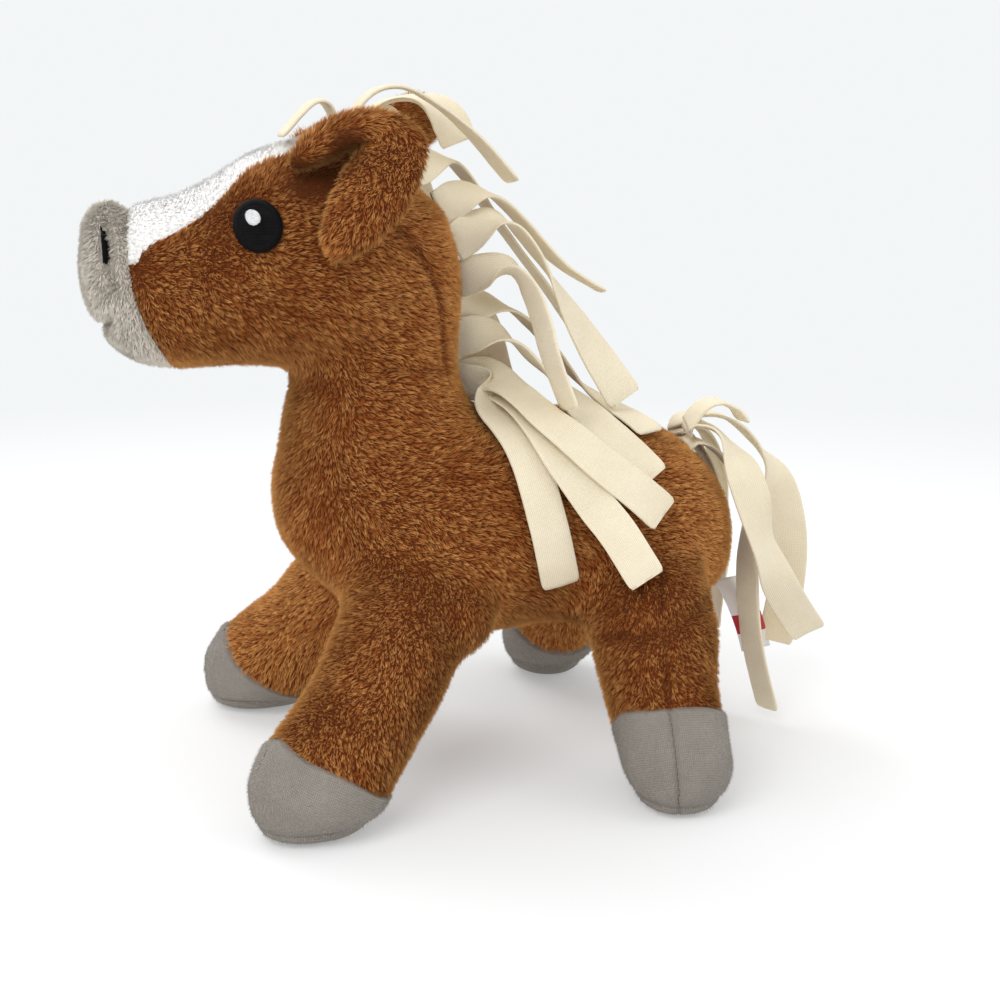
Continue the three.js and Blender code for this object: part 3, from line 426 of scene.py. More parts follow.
# sewn lines and folds on the left side, in mm; both hands have them; each one's shade is painted shade that darkens the
# pile along it
seamLines = dict(
    nape=dict(width=0.7, depth=1.2, shade=0.6, line=[(-25, -24.4, 134), (-22.9, -23.9, 132.2), (-18.3, -21.9, 127.5),
              (-14.2, -20.2, 119.6), (-12.3, -19.1, 112), (-11.4, -18, 105), (-9.6, -16.8, 98.6)]),
    neck=dict(width=1.1, depth=0.9, shade=0.22, line=[(-27, -21.3, 99.6), (-17.7, -20.7, 98.9), (-10.5, -17.6, 99.4)]),
    thigh=dict(width=0.6, depth=0.9, shade=0.6, line=[(36, -36, 54), (35, -40.4, 48.1), (33.5, -45.2, 42.6),
               (32.6, -49.4, 36.6), (31.4, -53.5, 30.8), (30.1, -57.4, 24.5)]),
    knee=dict(width=1.1, depth=1.5, shade=0.55, line=[(20, -36, 37.2), (22.1, -38.8, 38.2), (27.8, -44.8, 40)]),
    kneeFold=dict(width=3.0, depth=1.2, shade=0.3, line=[(27.8, -44.8, 40), (33.6, -45.8, 41.8), (40.3, -44.5, 43.7),
                  (50.3, -36.1, 43.1)]),
    mouth=dict(width=1.5, depth=2.8, shade=0.5, line=[(-90.5, 0, 110.2), (-88.6, -3.5, 109.8), (-87.6, -7.5, 110.6),
               (-86.6, -11.5, 113)]),
    muzzle=dict(width=1.2, depth=2.4, shade=0.35, line=[(-86.3, -6.9, 135.3), (-87.7, -12.1, 130.2),
                (-88.1, -13.9, 125.5), (-87.1, -15.2, 120.5)]))
# where the head's panels meet, and the swell between the muzzle's seam and its end, in mm; shade is the painted shade
# that darkens the pile along the muzzle's seam, its depth a share
headValleys = dict(seam=dict(depth=1.0, width=1.5), shade=dict(depth=0.25, width=1.0),
                   swell=dict(height=1.9, ahead=6.0, width=3.8), bridge=dict(height=1.6, low=127, high=135, reach=3),
                   blaze=dict(depth=0.5, width=1.5))


def lineDistance(points, line, normals=None):
    # the shortest distance from each point to the line's segments; with normals, measured along the skin
    line = np.array(line, float)
    best = np.full(len(points), 1e9)
    for a, b in zip(line[:-1], line[1:]):
        t = np.clip((points - a) @ (b - a) / ((b - a) @ (b - a)), 0, 1)
        gap = points - a - t[:, None] * (b - a)
        if normals is not None:
            depth = (gap * normals).sum(1, keepdims=True)
            gap = gap - normals * np.sign(depth) * np.minimum(np.abs(depth), 4)
        best = np.minimum(best, np.linalg.norm(gap, axis=1))
    return best


def seamField(points, normals):
    # how deep the seams press each point in, and how much painted shade darkens its pile along them: bell curves of the
    # distance
    depth, shade = np.zeros(len(points)), np.zeros(len(points))
    for seam in seamLines.values():
        away = np.minimum(lineDistance(points, seam["line"], normals),
                          lineDistance(points * [1, -1, 1], seam["line"], normals * [1, -1, 1]))
        depth = np.maximum(depth, seam["depth"] * bell(away, seam["width"]))
        shade = np.maximum(shade, seam["shade"] * bell(away, seam["width"]))
    seam, dark, swell, bridge, blaze = (headValleys[key] for key in ("seam", "shade", "swell", "bridge", "blaze"))
    x, y, z = points.T
    head = ease(z, 100, 108) * ease(-x, 4, 12)
    away = x - muzzleLine(z)
    valley = seam["depth"] * bell(away, seam["width"]) - swell["height"] * bell(away + swell["ahead"], swell["width"])
    valley -= bridge["height"] * ease(z, bridge["low"], bridge["high"]) * ease(-away, 0, bridge["reach"])
    beside = np.where((away > 0) & (z > headForm["height"]) & (blazeLine(x) > 0), np.abs(y) - blazeLine(x), 9.0)
    valley += blaze["depth"] * bell(beside, blaze["width"])
    return depth + head * valley, np.maximum(shade, head * dark["depth"] * bell(away, dark["width"]))


def filledHollows(points, faces, rounds, below):
    # only outward steps of plain smoothing: hollows fill to soft arches, the rest stays; fades out above a height
    low = (1 - ease(points[:, 2], below - 12, below))[:, None]
    for _ in range(rounds):
        normals = pointNormals(points, faces)
        step = smoothed(points, faces, 0.5, 1) - points
        rise = (step * normals).sum(1, keepdims=True)
        points = points + normals * np.maximum(rise, 0) * low
    return points


def stuffedBody(making):
    # the plain forms made one skin by a voxel remesh, smoothed, its hollows filled, puffed up and made finer
    rough = putMesh("stuffed_body", *joined(plainForms(making["inset"])))
    remesh = rough.modifiers.new("remesh", "REMESH")
    remesh.mode = "VOXEL"
    remesh.voxel_size = making["voxel"] * mm
    points, faces = readMesh(rough)
    dropObject(rough)
    # more smoothing in the hollows where two forms meet
    points = smoothed(points, faces, 0.35, 3)
    points = filledHollows(points, faces, making["fillRounds"], making["fillBelow"])
    points = puffed(points, faces, making["cloth"])
    body = putMesh("stuffed_body", points, faces)
    more = body.modifiers.new("subdivide", "SUBSURF")
    more.levels = more.render_levels = 1
    points, faces = readMesh(body)
    dropObject(body)
    return smoothed(points, faces, 0.5, making["polish"]), faces


def puffed(points, faces, making):
    # the cloth simulation: air pressure inside, no gravity, and no point may move further than the cap
    body = putMesh("stuffed_body_cloth", points, faces)
    cloth = body.modifiers.new("cloth", "CLOTH")
    settings = cloth.settings
    settings.quality = 4
    settings.mass = making["mass"]
    settings.tension_stiffness = settings.compression_stiffness = making["stretch"]
    settings.shear_stiffness = making["shear"]
    settings.bending_stiffness = making["bending"]
    settings.use_pressure = True
    settings.uniform_pressure_force = making["pressure"]
    settings.effector_weights.gravity = 0
    cloth.collision_settings.use_collision = False
    cloth.point_cache.frame_start = 1
    cloth.point_cache.frame_end = making["frames"]
    scene = bpy.context.scene
    for number in range(1, making["frames"] + 1):
        scene.frame_set(number)
    moved, _ = readMesh(body)
    scene.frame_set(1)
    dropObject(body)
    step = moved - points
    length = np.linalg.norm(step, axis=1, keepdims=True)
    print("cloth moved", round(float(length.mean()), 2), "mm on average,", round(float(length.max()), 2), "at most")
    return points + step * np.minimum(1, making["cap"] / np.maximum(length, 1e-6))


skinPoints, skinFaces = stuffedBody(skinMaking)
skinNormals = pointNormals(skinPoints, skinFaces)
skinPoints = skinPoints - skinNormals * seamField(skinPoints, skinNormals)[0][:, None]
print("stuffed body", len(skinPoints), "points")

# mm past the hip where the leg begins and where its joint ends, and how far round it reaches
legJoint = dict(toward=dict(front=(-0.12, 0.74, -0.66), hind=(-0.02, 0.76, -0.65)), start=11.0, end=31.0,
                around=21, below=58)
sleeveDrop = dict(front=4.6, hind=2.8)


def jointPlanes(name, side):
    # a leg's hip, and the direction square to the joint's two planes
    return inFrame(legForms[name]["hip"], side), unit(np.array(legJoint["toward"][name]) * [1, side, 1])


def pastAnkle(points, name, hand):
    # how far a point is past the line where the brown sleeve ends, which droops on the leg's outer side
    leg, side = legForms[name], sideNames[hand]
    shin = unit(inFrame(leg["foot"], side) - inFrame(leg["hip"], side))
    rel = points - legMiddle(leg, np.array([leg["hoofShare"]]), side)[0]
    along = rel @ shin
    aside = (rel[..., 1] - along * shin[1]) * side / 13.0
    return along - sleeveDrop[name] * ease(aside, 0.05, 0.95)


def legField(points):
    # for each leg: how far past its hip's plane, how near its middle line, and how far past the hoof's line
    found = {}
    for name, leg in legForms.items():
        for hand, side in sideNames.items():
            hip, way = jointPlanes(name, side)
            line = legMiddle(leg, np.linspace(0, 1, 40), side)
            gap = np.full(len(points), 1e9)
            for spot in line:
                gap = np.minimum(gap, ((points - spot) ** 2).sum(1))
            found[name, hand] = ((points - hip) @ way - legJoint["start"], np.sqrt(gap), pastAnkle(points, name, hand))
    return found


def regions(points):
    # the number of the panel that holds each point: 0 torso, 1 head, 2 blaze, 3 muzzle, 4 to 7 legs, 8 to 11 hooves
    x, y, z = points.T
    tilt = math.radians(neckForm["seamTilt"])
    above = (x - (middleX - neckForm["reach"])) * math.sin(tilt) + (z - neckForm["seam"]) * math.cos(tilt)
    kind = np.where(above > 0, 1, 0)
    head = kind == 1
    muzzle = head & (x < muzzleLine(z))
    blaze = head & ~muzzle & (np.abs(y) < blazeLine(x)) & (z > headForm["height"])
    kind[blaze] = 2
    kind[muzzle] = 3
    for number, (past, gap, hoof) in enumerate(legField(points).values()):
        leg = (past > 0) & (gap < legJoint["around"]) & (z < legJoint["below"])
        kind[leg] = 4 + number
        kind[leg & (hoof > 0)] = 8 + number
    return kind


def colour(r, g, b):
    # a colour written as it looks, from 0 to 255, made linear
    share = np.array([r, g, b], float) / 255
    linear = np.where(share <= 0.04045, share / 12.92, ((share + 0.055) / 1.055) ** 2.4)
    return (*[float(v) for v in linear], 1.0)


def newGroup(name, inputs, outputs):
    # a shader node group with its named sockets, and the nodes at both of its ends
    group = bpy.data.node_groups.new(name, "ShaderNodeTree")
    for label, kind, value in inputs:
        socket = group.interface.new_socket(name=label, in_out="INPUT", socket_type=kind)
        if value is not None:
            socket.default_value = value
    for label, kind in outputs:
        group.interface.new_socket(name=label, in_out="OUTPUT", socket_type=kind)
    return group, group.nodes.new("NodeGroupInput"), group.nodes.new("NodeGroupOutput")


def mathNode(tree, operation, a, b=None, c=None):
    # one operation on plain numbers or other nodes' outputs
    node = tree.nodes.new("ShaderNodeMath")
    node.operation = operation
    for socket, value in zip(node.inputs, (a, b, c)):
        if value is None:
            continue
        if isinstance(value, (int, float)):
            socket.default_value = value
        else:
            tree.links.new(value, socket)
    return node.outputs[0]


def mixColour(tree, factor, a, b):
    # from colour a to colour b as the factor goes from 0 to 1
    node = tree.nodes.new("ShaderNodeMix")
    node.data_type = "RGBA"
    for socket, value in ((node.inputs[0], factor), (node.inputs[6], a), (node.inputs[7], b)):
        if isinstance(value, (int, float, tuple)):
            socket.default_value = value
        else:
            tree.links.new(value, socket)
    return node.outputs[2]


def noiseNode(tree, vector, scale, detail, roughness):
    # fractal noise from 0 to 1 at a place in metres, or in mm where the place is a cloth map's
    node = tree.nodes.new("ShaderNodeTexNoise")
    node.inputs["Scale"].default_value = scale
    node.inputs["Detail"].default_value = detail
    node.inputs["Roughness"].default_value = roughness
    tree.links.new(vector, node.inputs["Vector"])
    return node.outputs["Fac"]


def makePileGroup():
    # along runs from a hair's root to its tip, tone is the hair's own shade: colour goes from the root's painted shade
    # through the body to the tip's painted highlight
    tree, source, sink = newGroup("pileShade", [
        ("Along", "NodeSocketFloat", 0.5), ("Tone", "NodeSocketFloat", 0.5), ("Root", "NodeSocketColor", None),
        ("Body", "NodeSocketColor", None), ("Tip", "NodeSocketColor", None)], [("Color", "NodeSocketColor")])
    reach = mathNode(tree, "POWER", source.outputs["Along"], 0.8)
    lower = mixColour(tree, reach, source.outputs["Root"], source.outputs["Body"])
    # the tip's painted highlight grows along the hair, as much as its tone lets it
    glow = mathNode(tree, "MULTIPLY", mathNode(tree, "POWER", source.outputs["Along"], 1.6), source.outputs["Tone"])
    tree.links.new(mixColour(tree, glow, lower, source.outputs["Tip"]), sink.inputs["Color"])
    return tree


def makeKnitGroup():
    # columns of V stitches: sine ribs across, rows along that dip between the ribs
    tree, source, sink = newGroup("knitStitch", [
        ("Across", "NodeSocketFloat", 0.0), ("Along", "NodeSocketFloat", 0.0), ("Rib", "NodeSocketFloat", 0.6),
        ("Row", "NodeSocketFloat", 0.5), ("Fuzz", "NodeSocketFloat", 0.3)],
        [("Height", "NodeSocketFloat"), ("Shade", "NodeSocketFloat")])
    ribPlace = mathNode(tree, "DIVIDE", source.outputs["Across"], source.outputs["Rib"])
    rib = mathNode(tree, "ABSOLUTE", mathNode(tree, "SINE", mathNode(tree, "MULTIPLY", ribPlace, math.pi)))
    lean = mathNode(tree, "MULTIPLY", rib, 0.45)
    rowPlace = mathNode(tree, "ADD", mathNode(tree, "DIVIDE", source.outputs["Along"], source.outputs["Row"]), lean)
    row = mathNode(tree, "ABSOLUTE", mathNode(tree, "SINE", mathNode(tree, "MULTIPLY", rowPlace, math.pi)))
    stitch = mathNode(tree, "MULTIPLY", mathNode(tree, "POWER", rib, 0.7), mathNode(tree, "POWER", row, 0.7))
    place = tree.nodes.new("ShaderNodeCombineXYZ")
    tree.links.new(source.outputs["Across"], place.inputs[0])
    tree.links.new(source.outputs["Along"], place.inputs[1])
    fuzz = noiseNode(tree, place.outputs[0], 1.3, 6.0, 0.85)
    loose = mathNode(tree, "MULTIPLY", fuzz, source.outputs["Fuzz"])
    mixed = mathNode(tree, "ADD", mathNode(tree, "MULTIPLY", stitch, 0.7), loose)
    # one stitch height serves as the bump and as the colour's shade: darker where the stitches dip, painted shade, with
    # the fuzz noise's random tone
    tree.links.new(mixed, sink.inputs["Height"])
    tree.links.new(mixed, sink.inputs["Shade"])
    return tree


pileShade = makePileGroup()
knitStitch = makeKnitGroup()


def newMaterial(name, roughness, sheen=0.0, sheenTint=(1, 1, 1, 1)):
    # cloth: little gloss, and a soft sheen in its own tint
    material = bpy.data.materials.new(name)
    material.use_nodes = True
    shader = material.node_tree.nodes["Principled BSDF"]
    shader.inputs["Roughness"].default_value = roughness
    shader.inputs["Specular IOR Level"].default_value = 0.25
    shader.inputs["Sheen Weight"].default_value = sheen
    shader.inputs["Sheen Tint"].default_value = sheenTint
    shader.inputs["Sheen Roughness"].default_value = 0.5
    return material, material.node_tree, shader


def addMap(tree, mapName):
    # a piece's own map, taken apart: its u comes out first, its v second
    place = tree.nodes.new("ShaderNodeUVMap")
    place.uv_map = mapName
    split = tree.nodes.new("ShaderNodeSeparateXYZ")
    tree.links.new(place.outputs[0], split.inputs[0])
    return split


def addGroup(tree, kind, links, values):
    # a node group with some inputs linked and the others set
    group = tree.nodes.new("ShaderNodeGroup")
    group.node_tree = kind
    for label, socket in links.items():
        tree.links.new(socket, group.inputs[label])
    for label, value in values.items():
        group.inputs[label].default_value = value
    return group


def addBump(tree, shader, height, strength, distance):
    # the height stands off the surface by the distance, in metres
    bump = tree.nodes.new("ShaderNodeBump")
    bump.inputs["Strength"].default_value = strength
    bump.inputs["Distance"].default_value = distance
    tree.links.new(height, bump.inputs["Height"])
    tree.links.new(bump.outputs[0], shader.inputs["Normal"])


def objectNoise(tree, scale, detail):
    # noise on the Object coordinates, which are the frame's own
    place = tree.nodes.new("ShaderNodeTexCoord")
    return noiseNode(tree, place.outputs["Object"], scale, detail, 0.6)


def pileMaterial(name, root, body, tip, sheen=0.12):
    # the hairs' map gives the place along each hair and the hair's own tone
    material, tree, shader = newMaterial(name, 0.85, sheen, tip)
    split = addMap(tree, "OFBake")
    group = addGroup(tree, pileShade, dict(Along=split.outputs[1], Tone=split.outputs[0]),
                     dict(Root=root, Body=body, Tip=tip))
    tree.links.new(group.outputs["Color"], shader.inputs["Base Color"])
    return material


def backingMaterial(name, dark, light):
    # the knitted backing between the hairs: two shades by a fine noise on Object coordinates, and a bump
    material, tree, shader = newMaterial(name, 0.95)
    grain = objectNoise(tree, 900.0, 3.0)
    tree.links.new(mixColour(tree, grain, dark, light), shader.inputs["Base Color"])
    addBump(tree, shader, grain, 0.6, 0.0004)
    return material


def knitMaterial(name, dark, light, rib, row, fuzz, depth, sheen=0.15, patch=None):
    # the stitches come from the piece's own map, in mm, and darken the colour where they dip, painted shade; a wider
    # noise stains the cloth a little
    material, tree, shader = newMaterial(name, 0.9, sheen, light)
    split = addMap(tree, "clothMap")
    group = addGroup(tree, knitStitch, dict(Across=split.outputs[0], Along=split.outputs[1]),
                     dict(Rib=rib, Row=row, Fuzz=fuzz))
    wide = objectNoise(tree, 70.0, 3.0)
    shade = mathNode(tree, "MULTIPLY_ADD", wide, 0.45, mathNode(tree, "MULTIPLY", group.outputs["Shade"], 0.6))
    base = mixColour(tree, shade, dark, light)
    if patch is not None:
        base = patch(tree, split, base)
    tree.links.new(base, shader.inputs["Base Color"])
    addBump(tree, shader, group.outputs["Height"], 0.8, depth * mm)
    return material


def threadMaterial(name, dark, light, roughness=0.45, sheen=0.1, specular=0.25):
    # dyed thread: a fine twist noise on Object coordinates between two shades
    material, tree, shader = newMaterial(name, roughness, sheen, light)
    shader.inputs["Specular IOR Level"].default_value = specular
    tree.links.new(mixColour(tree, objectNoise(tree, 2200.0, 2.0), dark, light), shader.inputs["Base Color"])
    return material


# each pile's root colour is painted shade between the hairs and its tip colour a painted highlight; the body colour is
# the fibre's own
pileColours = dict(
    brown=dict(root=colour(70, 28, 4), body=colour(190, 102, 38), tip=colour(255, 192, 112)),
    white=dict(root=colour(246, 244, 241), body=colour(254, 253, 251), tip=colour(255, 255, 254)),
    grey=dict(root=colour(188, 178, 163), body=colour(243, 233, 217), tip=colour(254, 247, 234)),
    wool=dict(root=colour(112, 107, 100), body=colour(160, 153, 145), tip=colour(228, 222, 214)))
brownPile = pileMaterial("brownPile", sheen=0.5, **pileColours["brown"])
whitePile = pileMaterial("whitePile", **pileColours["white"])
greyPile = pileMaterial("greyPile", **pileColours["grey"])
woolFuzz = pileMaterial("woolFuzz", **pileColours["wool"])
# the brown and grey backings are as dark as their hairs' roots: painted shade between the hairs, with a random grain
brownBacking = backingMaterial("brownBacking", colour(76, 34, 8), colour(116, 58, 20))
whiteBacking = backingMaterial("whiteBacking", colour(248, 246, 243), colour(255, 254, 252))
greyBacking = backingMaterial("greyBacking", colour(132, 125, 117), colour(176, 168, 159))
# each knit goes from its dark colour in the stitches' dips, painted shade, to its light colour on their tops
creamKnit = knitMaterial("creamKnit", colour(190, 174, 138), colour(250, 240, 216), 0.46, 0.42, 0.85, 0.09)
greyKnit = knitMaterial("greyKnit", colour(12, 11, 10), colour(164, 157, 148), 0.4, 0.55, 1.2, 0.22, 0.06)
blackThread = threadMaterial("blackThread", colour(3, 3, 4), colour(22, 22, 23), 0.7, 0.0, 0.1)
whiteThread = threadMaterial("whiteThread", colour(188, 188, 192), colour(254, 254, 254))
greyThread = threadMaterial("greyThread", colour(84, 78, 72), colour(128, 120, 112), 0.8)

coatNormals = pointNormals(skinPoints, skinFaces)


def walled(faces, thickness):
    # a panel of the skin, the same panel pushed in by the thickness, and a strip of faces round its open edges
    used, back = np.unique(faces, return_inverse=True)
    faces = back.reshape(-1, 3)
    outer = skinPoints[used]
    inner = outer - coatNormals[used] * thickness
    count = len(outer)
    edges = np.concatenate([faces[:, [0, 1]], faces[:, [1, 2]], faces[:, [2, 0]]])
    code = np.sort(edges, 1) @ [count, 1]
    _, first, times = np.unique(code, return_index=True, return_counts=True)
    rim = edges[first[times == 1]]
    a, b = rim.T
    wall = np.concatenate([np.stack([b, a, a + count], 1), np.stack([b, a + count, b + count], 1)])
    return np.concatenate([outer, inner]), np.concatenate([faces, faces[:, ::-1] + count, wall])


faceMiddles = skinPoints[skinFaces].mean(1)
faceKinds = regions(faceMiddles)
hoofPast = np.stack([field[2] for field in legField(faceMiddles).values()], 1)
legNames = [(name, hand) for name in legForms for hand in sideNames]
panels = dict(thickness=0.9, fill=0.8, underHoof=2)


def carry(piece, body, leg):
    # a piece rides its body; a leg's piece has its place baked into its mesh and rides nothing
    if leg is None:
        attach(piece, body)
        return
    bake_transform(piece)


def addPanel(name, chosen, material, replaced, body, leg=None):
    # the chosen faces of the stuffed skin as a coat of its own, in place of its nodes
    piece = putMesh(name, *walled(skinFaces[chosen], panels["thickness"]), material)
    carry(piece, body, leg)
    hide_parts(*replaced)


addPanel("torso_coat", faceKinds == 0, brownBacking,
         ["torso_skin_left", "torso_skin_right", "torso_stuffing"], "torso")
addPanel("head_coat", faceKinds == 1, brownBacking,
         ["head_skin_left", "head_skin_right", "head_stuffing"], "torso")
addPanel("blaze_coat", faceKinds == 2, whiteBacking, ["blaze_panel"], "torso")
addPanel("muzzle_coat", faceKinds == 3, greyBacking, ["muzzle_cap"], "torso")
for number, (name, hand) in enumerate(legNames):
    lower = (faceKinds == 8 + number) & (hoofPast[:, number] < panels["underHoof"])
    addPanel(f"leg_coat_{name}_{hand}", (faceKinds == 4 + number) | lower, brownBacking,
             [f"leg_{name}_{hand}", f"leg_stuffing_{name}_{hand}"], f"leg_{name}_{hand}", (name, sideNames[hand]))
print("skin panels done")

# the pile round this line under the left ear's bend is darkened, painted shade
earHollow = [(-45.5, -24.5, 143.5), (-39.5, -25, 143.5), (-36, -25.5, 150.5)]  # under the left ear's bend
pileMaking = dict(seed=7, density=7.6, width=0.22, clumpCell=0.95, clumpPull=0.46, soft=0.66, softPale=0.88,
                  brown=dict(length=1.7, lean=41), white=dict(length=1.2, lean=48, pull=0.35, width=0.8),
                  grey=dict(length=1.4, lean=42), toneNoise=0.24, toneSpread=0.12, frontLegLight=0.22, hollowShade=5.2,
                  sunk=0.55)
combMaking = dict(wideTurn=0.5, wideCell=9.0, fineTurn=0.3, fineCell=3.2, clumpTurn=0.7, hairTurn=0.15,
                  clumpLean=22, hairLean=7, least=0.88, more=0.24)


def scattered(points, faces, density, rng):
    # roots spread evenly over the faces: faces by their area, then a random place inside each
    a, b, c = (points[faces[:, k]] for k in range(3))
    area = np.linalg.norm(np.cross(b - a, c - a), axis=1) / 2
    count = int(area.sum() * density)
    chosen = np.searchsorted(np.cumsum(area), (np.arange(count) + rng.random(count)) / count * area.sum())
    chosen = np.minimum(chosen, len(faces) - 1)
    u, v = rng.random((2, count))
    over = u + v > 1
    u, v = np.where(over, 1 - u, u)[:, None], np.where(over, 1 - v, v)[:, None]
    normals = pointNormals(points, faces)
    na, nb, nc = (normals[faces[chosen, k]] for k in range(3))
    return (a[chosen] * (1 - u - v) + b[chosen] * u + c[chosen] * v, unit(na * (1 - u - v) + nb * u + nc * v))


def clumps(points, cell, seed):
    # the nearest of the scattered clump middles, one in each cell of a lattice, and its own random numbers
    table = np.random.default_rng(seed).random((24, 24, 24, 6))
    q = points / cell
    base = np.floor(q).astype(int)
    best = np.full(len(q), 1e9)
    middle, own = np.zeros_like(q), np.zeros((len(q), 3))
    for offset in np.ndindex(3, 3, 3):
        spot = base + np.array(offset) - 1
        values = table[tuple((spot % 24).T)]
        place = spot + values[:, :3]
        distance = ((place - q) ** 2).sum(1)
        nearer = distance < best
        best = np.where(nearer, distance, best)
        middle[nearer], own[nearer] = place[nearer], values[nearer, 3:]
    return middle * cell, own


def hairMesh(name, roots, normals, tips, width, tone, shade, material):
    # each hair is a closed three-sided spike; its map holds its tone across, and upwards root to tip less its painted
    # shade, which pulls its colour towards the root's
    way = unit(tips - roots)
    across = unit(np.cross(way, normals)) * (width / 2)[:, None]
    under = unit(np.cross(across, way)) * (width * 0.6)[:, None]
    corners = np.stack([roots + across, roots - across, roots - under, tips], 1).reshape(-1, 3)
    index = (np.arange(len(roots)) * 4)[:, None, None]
    faces = (index + np.array([[0, 1, 3], [1, 2, 3], [2, 0, 3], [0, 2, 1]])[None]).reshape(-1, 3)
    tone = np.clip(tone, 0.02, 0.97)
    u = tone[:, None] + np.array([-0.01, 0.01, 0.0, 0.0])[None]
    v = np.array([0.02, 0.02, 0.05, 0.98])[None] * (1 - shade)[:, None] + 0 * u
    pairs = np.stack([u, v], 2).reshape(-1, 2)[faces.ravel()]
    # turned round where the first face looks at its own hair's middle
    a, b, c = corners[faces[:1, 0]], corners[faces[:1, 1]], corners[faces[:1, 2]]
    faces, pairs = outwardMap(faces, pairs, (np.cross(b - a, c - a) * (a - corners[:4].mean(0))).sum())
    piece = putMesh(name, corners, faces, material, pairs, "OFBake")
    # light falls on the pile as on a soft nap: each hair's normals lean towards the skin's own
    own = unit(unit(np.stack([across, -across, -under, way * 0], 1)) + 1e-6)
    share = pileMaking["softPale" if material in (whitePile, greyPile) else "soft"]
    soft = unit(own * (1 - share) + normals[:, None] * share).reshape(-1, 3)
    piece.data.normals_split_custom_set_from_vertices(soft)
    return piece


def combed(roots, normals, way, length, lean, rng, elongate, seed, draw=1.0):
    # where the tips lie: a turned comb direction, a lean from the normal, and a pull towards the clump's middle
    m = combMaking
    turn = (m["wideTurn"] * latticeNoise(roots, m["wideCell"], seed)
            + m["fineTurn"] * latticeNoise(roots, m["fineCell"], seed + 1))
    flat = unit(way - normals * (way * normals).sum(1, keepdims=True))
    aside = np.cross(normals, flat)
    middle, own = clumps(roots * elongate, pileMaking["clumpCell"], seed + 2)
    middle = middle / elongate
    turn = turn + (own[:, 0] - 0.5) * m["clumpTurn"] + rng.normal(0, m["hairTurn"], len(roots))
    flat = flat * np.cos(turn)[:, None] + aside * np.sin(turn)[:, None]
    angle = np.radians(lean + (own[:, 1] - 0.5) * m["clumpLean"] + rng.normal(0, m["hairLean"], len(roots)))[:, None]
    size = (length * (m["least"] + m["more"] * own[:, 2]) * rng.uniform(0.85, 1.1, len(roots)))[:, None]
    pull = middle - roots
    pull -= normals * (pull * normals).sum(1, keepdims=True)
    tips = roots + normals * np.cos(angle) * size + flat * np.sin(angle) * size
    return tips + pull * (pileMaking["clumpPull"] * draw), own


def combWays(points, kind):
    # back along the body and head, down the neck, down each leg, down over the muzzle
    x, y, z = points.T
    way = np.empty_like(points)
    neck = ease(z, 84, 104)[:, None] * ease(-x, 4, 14)[:, None]
    way[:] = np.array([1.0, 0, -0.28]) * (1 - neck) + np.array([0.5, 0, -0.75]) * neck
    chest = ease(-x, 24, 42)[:, None] * (1 - neck)
    way[:] = way * (1 - chest) + np.array([0.45, 0, -0.9]) * chest
    way[kind == 1] = (1.0, 0, -0.3)
    way[kind == 2] = (1.0, 0, 0.25)
    way[kind == 3] = (0.25, 0, -1.0)
    for (past, gap, _), (name, hand) in zip(legField(points).values(), legNames):
        leg = legForms[name]
        shin = unit((np.array(leg["foot"], float) - leg["hip"]) * [1, -sideNames[hand], 1])
        near = (ease(past, -14, 8) * (1 - ease(gap, 18, 26)))[:, None]
        way[:] = way * (1 - near) + shin * near
    return way


rng = np.random.default_rng(pileMaking["seed"])
roots, rootNormals = scattered(skinPoints, skinFaces, pileMaking["density"], rng)
rootKinds = regions(roots)
print("pile roots", len(roots))

eyePlace = dict(x=middleX - 63.1, z=133.66, width=10.4, height=11.4)
nostrilPlace = dict(x=headFront + 0.05 * 89, z=124.7 + 0.16 * 28, width=0.36, height=8.2)


def bareOval(points, place, grow):
    # the roots inside an oval on the head's sides, seen from the side
    across = (points[:, 0] - place["x"]) / (place["width"] / 2 + grow)
    up = (points[:, 2] - place["z"]) / (place["height"] / 2 + grow)
    return (across ** 2 + up ** 2 < 1) & (np.abs(points[:, 1]) > 8)


bare = (rootKinds >= 8) | bareOval(roots, eyePlace, -0.2) | bareOval(roots, nostrilPlace, 0.1)
# the white pile is thin: two hairs of five stay, so its smooth backing gives the blaze its plain white
onBlaze, onMuzzle = rootKinds == 2, rootKinds == 3
bare |= onBlaze & (np.arange(len(roots)) % 5 > 1)
ways = combWays(roots, rootKinds)
# clumps are longer along the comb's direction: down the legs, and along the body elsewhere
stretch = np.where((rootKinds >= 4)[:, None], np.array([1.0, 0.9, 0.62]), np.array([0.6, 1.0, 1.0]))
lengths, leans = (np.select([onBlaze, onMuzzle], [pileMaking["white"][key], pileMaking["grey"][key]],
                            pileMaking["brown"][key]).astype(float) for key in ("length", "lean"))
draw = np.where(onBlaze, pileMaking["white"]["pull"], 1.0)[:, None]
tips, own = combed(roots, rootNormals, ways, lengths, leans, rng, stretch, 11, draw)
# each hair's tone: its clump's own, two noises over the skin and its own spread; the front legs get more of the tip's
# painted highlight, painted light
tones = 0.5 + (own[:, 2] - 0.5) + pileMaking["toneNoise"] * latticeNoise(roots, 14.0, 5)
tones += pileMaking["toneNoise"] * latticeNoise(roots, 4.0, 6)
tones += rng.normal(0, pileMaking["toneSpread"], len(roots)) + np.where(
    (rootKinds == 4) | (rootKinds == 5), pileMaking["frontLegLight"], 0.0)
# painted shade darkens the pile along the seams and folds
shades = seamField(roots, rootNormals)[1]
# the folded ear keeps the light from the skin under its bend: the pile there is darkened, painted shade
shades = np.maximum(shades, np.exp(-(lineDistance(roots, earHollow) / pileMaking["hollowShade"]) ** 4))
tips = roots + (tips - roots) * (1 - pileMaking["sunk"] * shades)[:, None]
widths = pileMaking["width"] * rng.uniform(0.75, 1.25, len(roots))
widths = widths * np.where(onBlaze, pileMaking["white"]["width"], 1.0)


